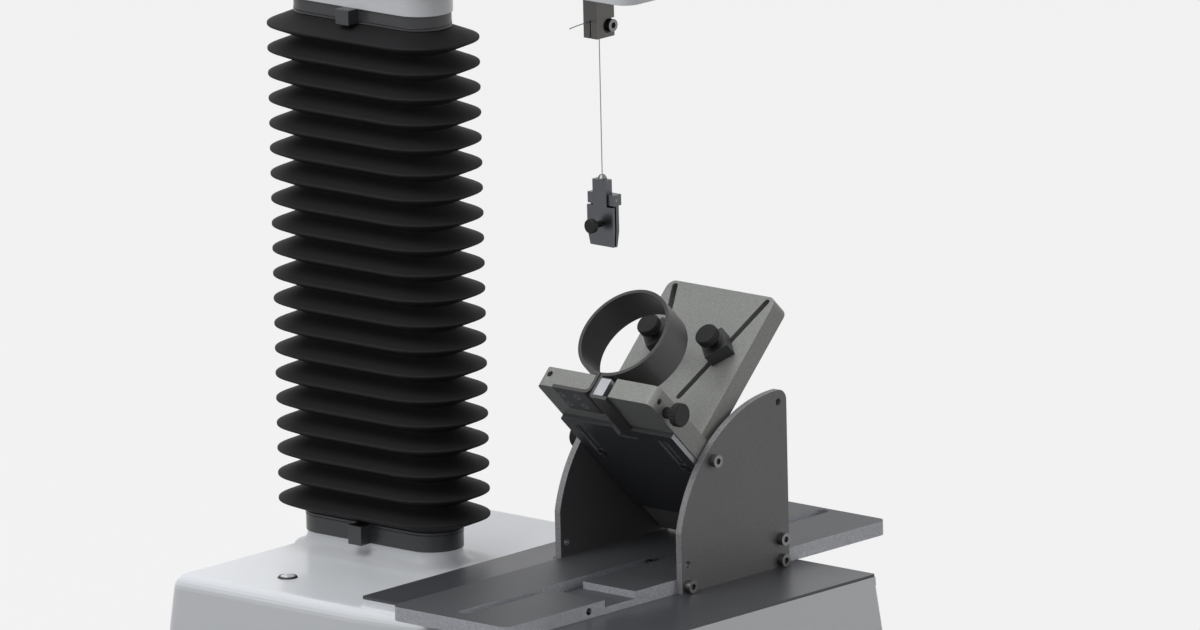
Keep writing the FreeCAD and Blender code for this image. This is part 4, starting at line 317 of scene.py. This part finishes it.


# In this table, edge sets how light the painted highlight along edges is, and sides how light the
# painted light on side faces is.
FINISHES = {
    "white_moulding": moulding("white_moulding", (0.8, 0.815, 0.84)),
    "grey_sheet": satin_paint("grey_sheet", (0.4, 0.41, 0.42)),
    "stage_black": satin_paint("stage_black", (0.052, 0.054, 0.06), 0.36),
    "bare_alloy": satin_metal("bare_alloy", (0.68, 0.69, 0.7)),
    "satin_alloy": satin_metal("satin_alloy", (0.11, 0.105, 0.1), 0.42),
    "light_alloy": satin_metal("light_alloy", (0.42, 0.43, 0.45), 0.45),
    "dark_anodised": blasted("dark_anodised", (0.07, 0.072, 0.078), 0.5, 0.5,
                             edge=2.2, sides=6.4),
    "side_anodised": blasted("side_anodised", (0.14, 0.137, 0.142), 0.3, 0.45,
                             sides=1.9, side_axis="Y"),
    "grey_anodised": blasted("grey_anodised", (0.285, 0.29, 0.275), 0.35, 0.55, 0.15, 1.3),
    "peg_anodised": blasted("peg_anodised", (0.046, 0.046, 0.047), 0.3, 0.5),
    "strap_grey": satin_paint("strap_grey", (0.07, 0.068, 0.068), 0.42, 0.2, 2.6),
    "clamp_grey": satin_metal("clamp_grey", (0.11, 0.113, 0.125), 0.33),
    "steel": satin_metal("steel", (0.2, 0.2, 0.2), 0.34),
    "wire_steel": satin_metal("wire_steel", (0.25, 0.25, 0.26), 0.35),
    "dark_screw": satin_metal("dark_screw", (0.09, 0.09, 0.1), 0.4),
    "bronze": satin_metal("bronze", (0.58, 0.42, 0.2)),
    "motor_black": satin_paint("motor_black", (0.045, 0.045, 0.045)),
    "bellows_black": sheet_rubber("bellows_black", (0.0095, 0.0095, 0.0105)),
    "band_grey": satin_paint("band_grey", (0.05, 0.051, 0.055), 0.35),
    "black_knob": black_plastic("black_knob", (0.0075, 0.0075, 0.008), 0.5, 0.28),
    "black_plastic": black_plastic("black_plastic", (0.02, 0.02, 0.022)),
    "rubber": black_plastic("rubber", (0.03, 0.03, 0.03), 0.8),
    "vial": clear_vial("vial"),
}


def dress_nodes():
    """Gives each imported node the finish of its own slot."""
    for entry in frame["record"]["subparts"]:
        mesh = NODES[entry["node"]].data
        mesh.materials.clear()
        mesh.materials.append(FINISHES[entry["material_slot"]].material)


dress_nodes()


# Pieces made here
def finished(name, bm, finish, body=None):
    """Turns a bmesh into a smooth object, which rides on a body if one is named."""
    for face in bm.faces:
        face.smooth = True
    mesh = bpy.data.meshes.new(name)
    bm.to_mesh(mesh)
    bm.free()
    mesh.materials.append(FINISHES[finish].material)
    piece = linked(name, mesh)
    if body:
        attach(piece, body)
    return piece


# Steps along each half round of the column's plan
ARC_STEPS = 28


def set_column_ring(verts, radius, z):
    """Moves a turned loop of vertices to the column's plan, at one radius and height."""
    for i, vert in enumerate(verts):
        turn = (i + 0.5) * math.pi / ARC_STEPS
        side = 1.0 if i < ARC_STEPS else -1.0
        y = COLUMN_Y + side * COLUMN_RUN + radius * math.sin(turn)
        vert.co = Vector((radius * math.cos(turn), y, z)) * MM


def pleat_profile(low, high, collar_low, collar_high, count):
    """Radius and height along folded sheet with straight slopes, narrow rims and tight valleys."""
    valley, crest, rim = 20.0, 39.8, 0.85
    root_step, root_rise, shoulder = 0.8, 0.55, 1.1
    pitch = (high - low) / count
    profile = [(valley, collar_low), (valley, low)]
    for i in range(count):
        fold = low + pitch * i
        middle = fold + pitch / 2
        profile += [(valley + root_step, fold + root_rise),
                    (crest - shoulder, middle - rim * 1.2),
                    (crest, middle - rim * 0.6),
                    (crest, middle + rim * 0.6),
                    (crest - shoulder, middle + rim * 1.2),
                    (valley + root_step, fold + pitch - root_rise)]
    return profile + [(valley, high), (valley, collar_high)]


def grow_ring(bm, verts, radius, z):
    """Extrudes a loop of vertices and moves the new loop to its radius and height."""
    edges = [bm.edges.get((verts[i - 1], verts[i])) for i in range(len(verts))]
    grown = bmesh.ops.extrude_edge_only(bm, edges=edges)["geom"]
    fresh = {item for item in grown if isinstance(item, bmesh.types.BMVert)}
    verts = [next(edge.other_vert(vert) for edge in vert.link_edges
                  if edge.other_vert(vert) in fresh) for vert in verts]
    set_column_ring(verts, radius, z)
    return verts


def first_ring(bm, radius, z):
    """A loop of vertices on the column's plan."""
    verts = bmesh.ops.create_circle(bm, segments=2 * ARC_STEPS, radius=radius * MM)["verts"]
    verts.sort(key=lambda vert: math.atan2(vert.co.y, vert.co.x) % math.tau)
    set_column_ring(verts, radius, z)
    return verts


def bellows(name, low, high, collar_low, collar_high, count, stands_for):
    """Folded sheet, drawn up from its lower collar ring by ring."""
    profile = pleat_profile(low, high, collar_low, collar_high, count)
    bm = bmesh.new()
    verts = first_ring(bm, *profile[0])
    for radius, z in profile[1:]:
        verts = grow_ring(bm, verts, radius, z)
    bmesh.ops.recalc_face_normals(bm, faces=bm.faces[:])
    piece = finished(name, bm, "bellows_black")
    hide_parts(stands_for)
    return piece


def make_bellows():
    """The bellows below and above the arm, built at one length; the real ones stretch as the
    crosshead travels.
    """
    lower = bellows("lower_bellows_folds", low=16.4, high=369.4, collar_low=3.0,
                    collar_high=379.8, count=20, stands_for="lower_bellows")
    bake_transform(lower)
    upper = bellows("upper_bellows_folds", low=512.7, high=583.3, collar_low=502.3,
                    collar_high=593.7, count=4, stands_for="upper_bellows")
    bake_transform(upper)


make_bellows()


# From a seam's middle to the band's edge
SEAM_INSET = 1.9


def band_seam(name, z, body):
    """The dark bead that runs round a clamp band near one of its edges."""
    inner, outer, half = 20.7, 21.35, 0.4
    bm = bmesh.new()
    verts = first_ring(bm, inner, z - half)
    for radius, height in ((outer, z - half), (outer, z + half), (inner, z + half)):
        verts = grow_ring(bm, verts, radius, height)
    loops = [edge for edge in bm.edges if edge.is_boundary]
    bmesh.ops.bridge_loops(bm, edges=loops)
    bmesh.ops.recalc_face_normals(bm, faces=bm.faces[:])
    finished(name, bm, "black_plastic", body)


def make_band_seams():
    """A bead on each of the four bands, two of which are in arm_bands."""
    bands = (("foot_band", "machine"), ("arm_bands", "crosshead"), ("cap_band", "machine"))
    for node, body in bands:
        low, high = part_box(node)
        band_seam(node + "_seam", high[2] / MM - SEAM_INSET, body)
        if node == "arm_bands":
            band_seam("arm_band_low_seam", low[2] / MM + SEAM_INSET, body)


make_band_seams()


WIRE_RADIUS = 0.35


def wire_curve(name, points, body, stands_for):
    """A smooth round wire through control points in millimetres."""
    data = bpy.data.curves.new(name, "CURVE")
    data.dimensions = "3D"
    data.bevel_depth = WIRE_RADIUS * MM
    data.bevel_resolution = 4
    data.use_fill_caps = True
    spline = data.splines.new("NURBS")
    spline.points.add(len(points) - 1)
    for point, spot in zip(spline.points, points):
        point.co = (spot[0] * MM, spot[1] * MM, spot[2] * MM, 1.0)
    spline.order_u = 3
    spline.use_endpoint_u = True
    spline.resolution_u = 12
    data.materials.append(FINISHES["wire_steel"].material)
    piece = linked(name, data)
    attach(piece, body)
    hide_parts(stands_for)
    return piece


def make_wire():
    """The taut wire that carries the clamp, and its free end bent out of the adaptor."""
    top, low = 384.8, 280.6
    taut = [(0, 0, top), (0, 0, (top + low) / 2), (0, 0, low)]
    hanging = wire_curve("load_wire", taut, "wire", "hanging_wire")
    bent = [(0, 0, 385.1), (0, 0, 393.0), (-0.6, 0, 394.5), (-9.0, 0, 394.5),
            (-20.0, 0, 394.3), (-29.85, 0, 393.2)]
    tail = wire_curve("load_wire_tail", bent, "crosshead", "wire_tail")


make_wire()


def make_level_dome():
    """The spirit level's domed window and the dark ring round it."""
    low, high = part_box("level_vial")
    middle = Vector(((low[0] + high[0]) / 2, (low[1] + high[1]) / 2, high[2]))
    dome_height, ring_radius, play = 0.34, 0.0011, 0.0001
    radius = (high[0] - low[0]) / 2 - play
    bm = bmesh.new()
    bmesh.ops.create_uvsphere(bm, u_segments=32, v_segments=24, radius=radius)
    lower = [vert for vert in bm.verts if vert.co.z < -WELD]
    bmesh.ops.delete(bm, geom=lower, context="VERTS")
    rim = [edge for edge in bm.edges if edge.is_boundary]
    bmesh.ops.holes_fill(bm, edges=rim, sides=0)
    press = Matrix.Translation(middle) @ Matrix.Diagonal((1.0, 1.0, dome_height, 1.0))
    bmesh.ops.transform(bm, matrix=press, verts=bm.verts[:])
    bmesh.ops.recalc_face_normals(bm, faces=bm.faces[:])
    finished("level_dome", bm, "vial", "machine")
    ring = bmesh.new()
    bmesh.ops.create_circle(ring, segments=10, radius=ring_radius)
    bmesh.ops.rotate(ring, matrix=Matrix.Rotation(math.pi / 2, 3, "X"), verts=ring.verts[:])
    bmesh.ops.translate(ring, vec=middle + Vector((radius, 0.0, 0.0)), verts=ring.verts[:])
    bmesh.ops.spin(ring, geom=ring.edges[:], cent=middle, axis=(0.0, 0.0, 1.0),
                   angle=math.tau, steps=48, use_merge=True)
    bmesh.ops.remove_doubles(ring, verts=ring.verts[:], dist=WELD)
    bmesh.ops.recalc_face_normals(ring, faces=ring.faces[:])
    finished("level_ring", ring, "black_plastic", "machine")


make_level_dome()


# Studio. The floor's half side is in metres, its gap below the feet in millimetres.
FLOOR_HALF = 90.0
FLOOR_GAP = 0.02
GLOW_SHARE = 0.875
SKY_COLOUR = (0.93, 0.96, 1.0, 1.0)
SKY_STRENGTH = 0.3
BACKDROP_GREY = (0.896, 0.896, 0.896, 1.0)
SEEN_RAYS = ("Is Glossy Ray", "Is Transmission Ray")


def make_floor():
    """A huge floor that glows pale to the camera and keeps the object's shadow."""
    bm = bmesh.new()
    bmesh.ops.create_grid(bm, x_segments=1, y_segments=1, size=FLOOR_HALF)
    for vert in bm.verts:
        vert.co.z = (FLOOR_Z - FLOOR_GAP) * MM
    mesh = bpy.data.meshes.new("studio_floor")
    bm.to_mesh(mesh)
    bm.free()
    floor = linked("studio_floor", mesh)
    pale = Finish("studio_pale", (0.12, 0.12, 0.122), roughness=0.9, specular=0.0)
    glow = pale.node("ShaderNodeEmission", None,
                     {"Color": (1.0, 1.0, 1.0, 1.0), "Strength": 1.0})
    path = pale.node("ShaderNodeLightPath")
    shows = Signal(pale, path.outputs["Is Camera Ray"])
    for kind in SEEN_RAYS:
        shows = shows.combine("MAXIMUM", shows, path.outputs[kind])
    mix = pale.node("ShaderNodeMixShader", None, {0: shows * GLOW_SHARE})
    pale.tree.links.new(pale.shader.outputs[0], mix.inputs[1])
    pale.tree.links.new(glow.outputs[0], mix.inputs[2])
    pale.tree.links.new(mix.outputs[0], pale.tree.nodes["Material Output"].inputs["Surface"])
    mesh.materials.append(pale.material)


def make_world():
    """A soft even sky that camera, metal and glass see as the pale background."""
    world = bpy.data.worlds.new("studio_world")
    bpy.context.scene.world = world
    world.use_nodes = True
    tree = world.node_tree
    light = tree.nodes["Background"]
    light.inputs["Color"].default_value = SKY_COLOUR
    light.inputs["Strength"].default_value = SKY_STRENGTH
    shown = tree.nodes.new("ShaderNodeBackground")
    shown.inputs["Color"].default_value = BACKDROP_GREY
    rays = tree.nodes.new("ShaderNodeLightPath")
    shows = rays.outputs["Is Camera Ray"]
    for kind in SEEN_RAYS:
        either = tree.nodes.new("ShaderNodeMath")
        either.operation = "MAXIMUM"
        tree.links.new(shows, either.inputs[0])
        tree.links.new(rays.outputs[kind], either.inputs[1])
        shows = either.outputs[0]
    choice = tree.nodes.new("ShaderNodeMixShader")
    tree.links.new(shows, choice.inputs[0])
    tree.links.new(light.outputs[0], choice.inputs[1])
    tree.links.new(shown.outputs[0], choice.inputs[2])
    tree.links.new(choice.outputs[0], tree.nodes["World Output"].inputs["Surface"])


# Name, place and disk size in metres, watts and colour
LAMPS = (
    ("key_lamp", (-1.5, 0.3, 2.3), 1.8, 34.0, (1.0, 1.0, 1.0)),
    ("top_lamp", (0.3, 0.9, 2.6), 1.6, 26.0, (0.95, 0.97, 1.0)),
    ("front_lamp", (1.4, -2.4, 0.9), 1.4, 11.0, (1.0, 0.95, 0.88)),
)
LAMP_AIM = Vector((0.0, 0.05, 0.15))


def make_lamps():
    """Large soft disks aimed at the fixture."""
    for name, spot, size, power, colour in LAMPS:
        data = bpy.data.lights.new(name, "AREA")
        data.shape = "DISK"
        data.size = size
        data.energy = power
        data.color = colour
        lamp = linked(name, data)
        lamp.location = spot
        aim = LAMP_AIM - Vector(spot)
        lamp.rotation_euler = aim.to_track_quat("-Z", "Y").to_euler()


make_floor()
make_world()
make_lamps()
bpy.context.scene.view_settings.view_transform = "Standard"
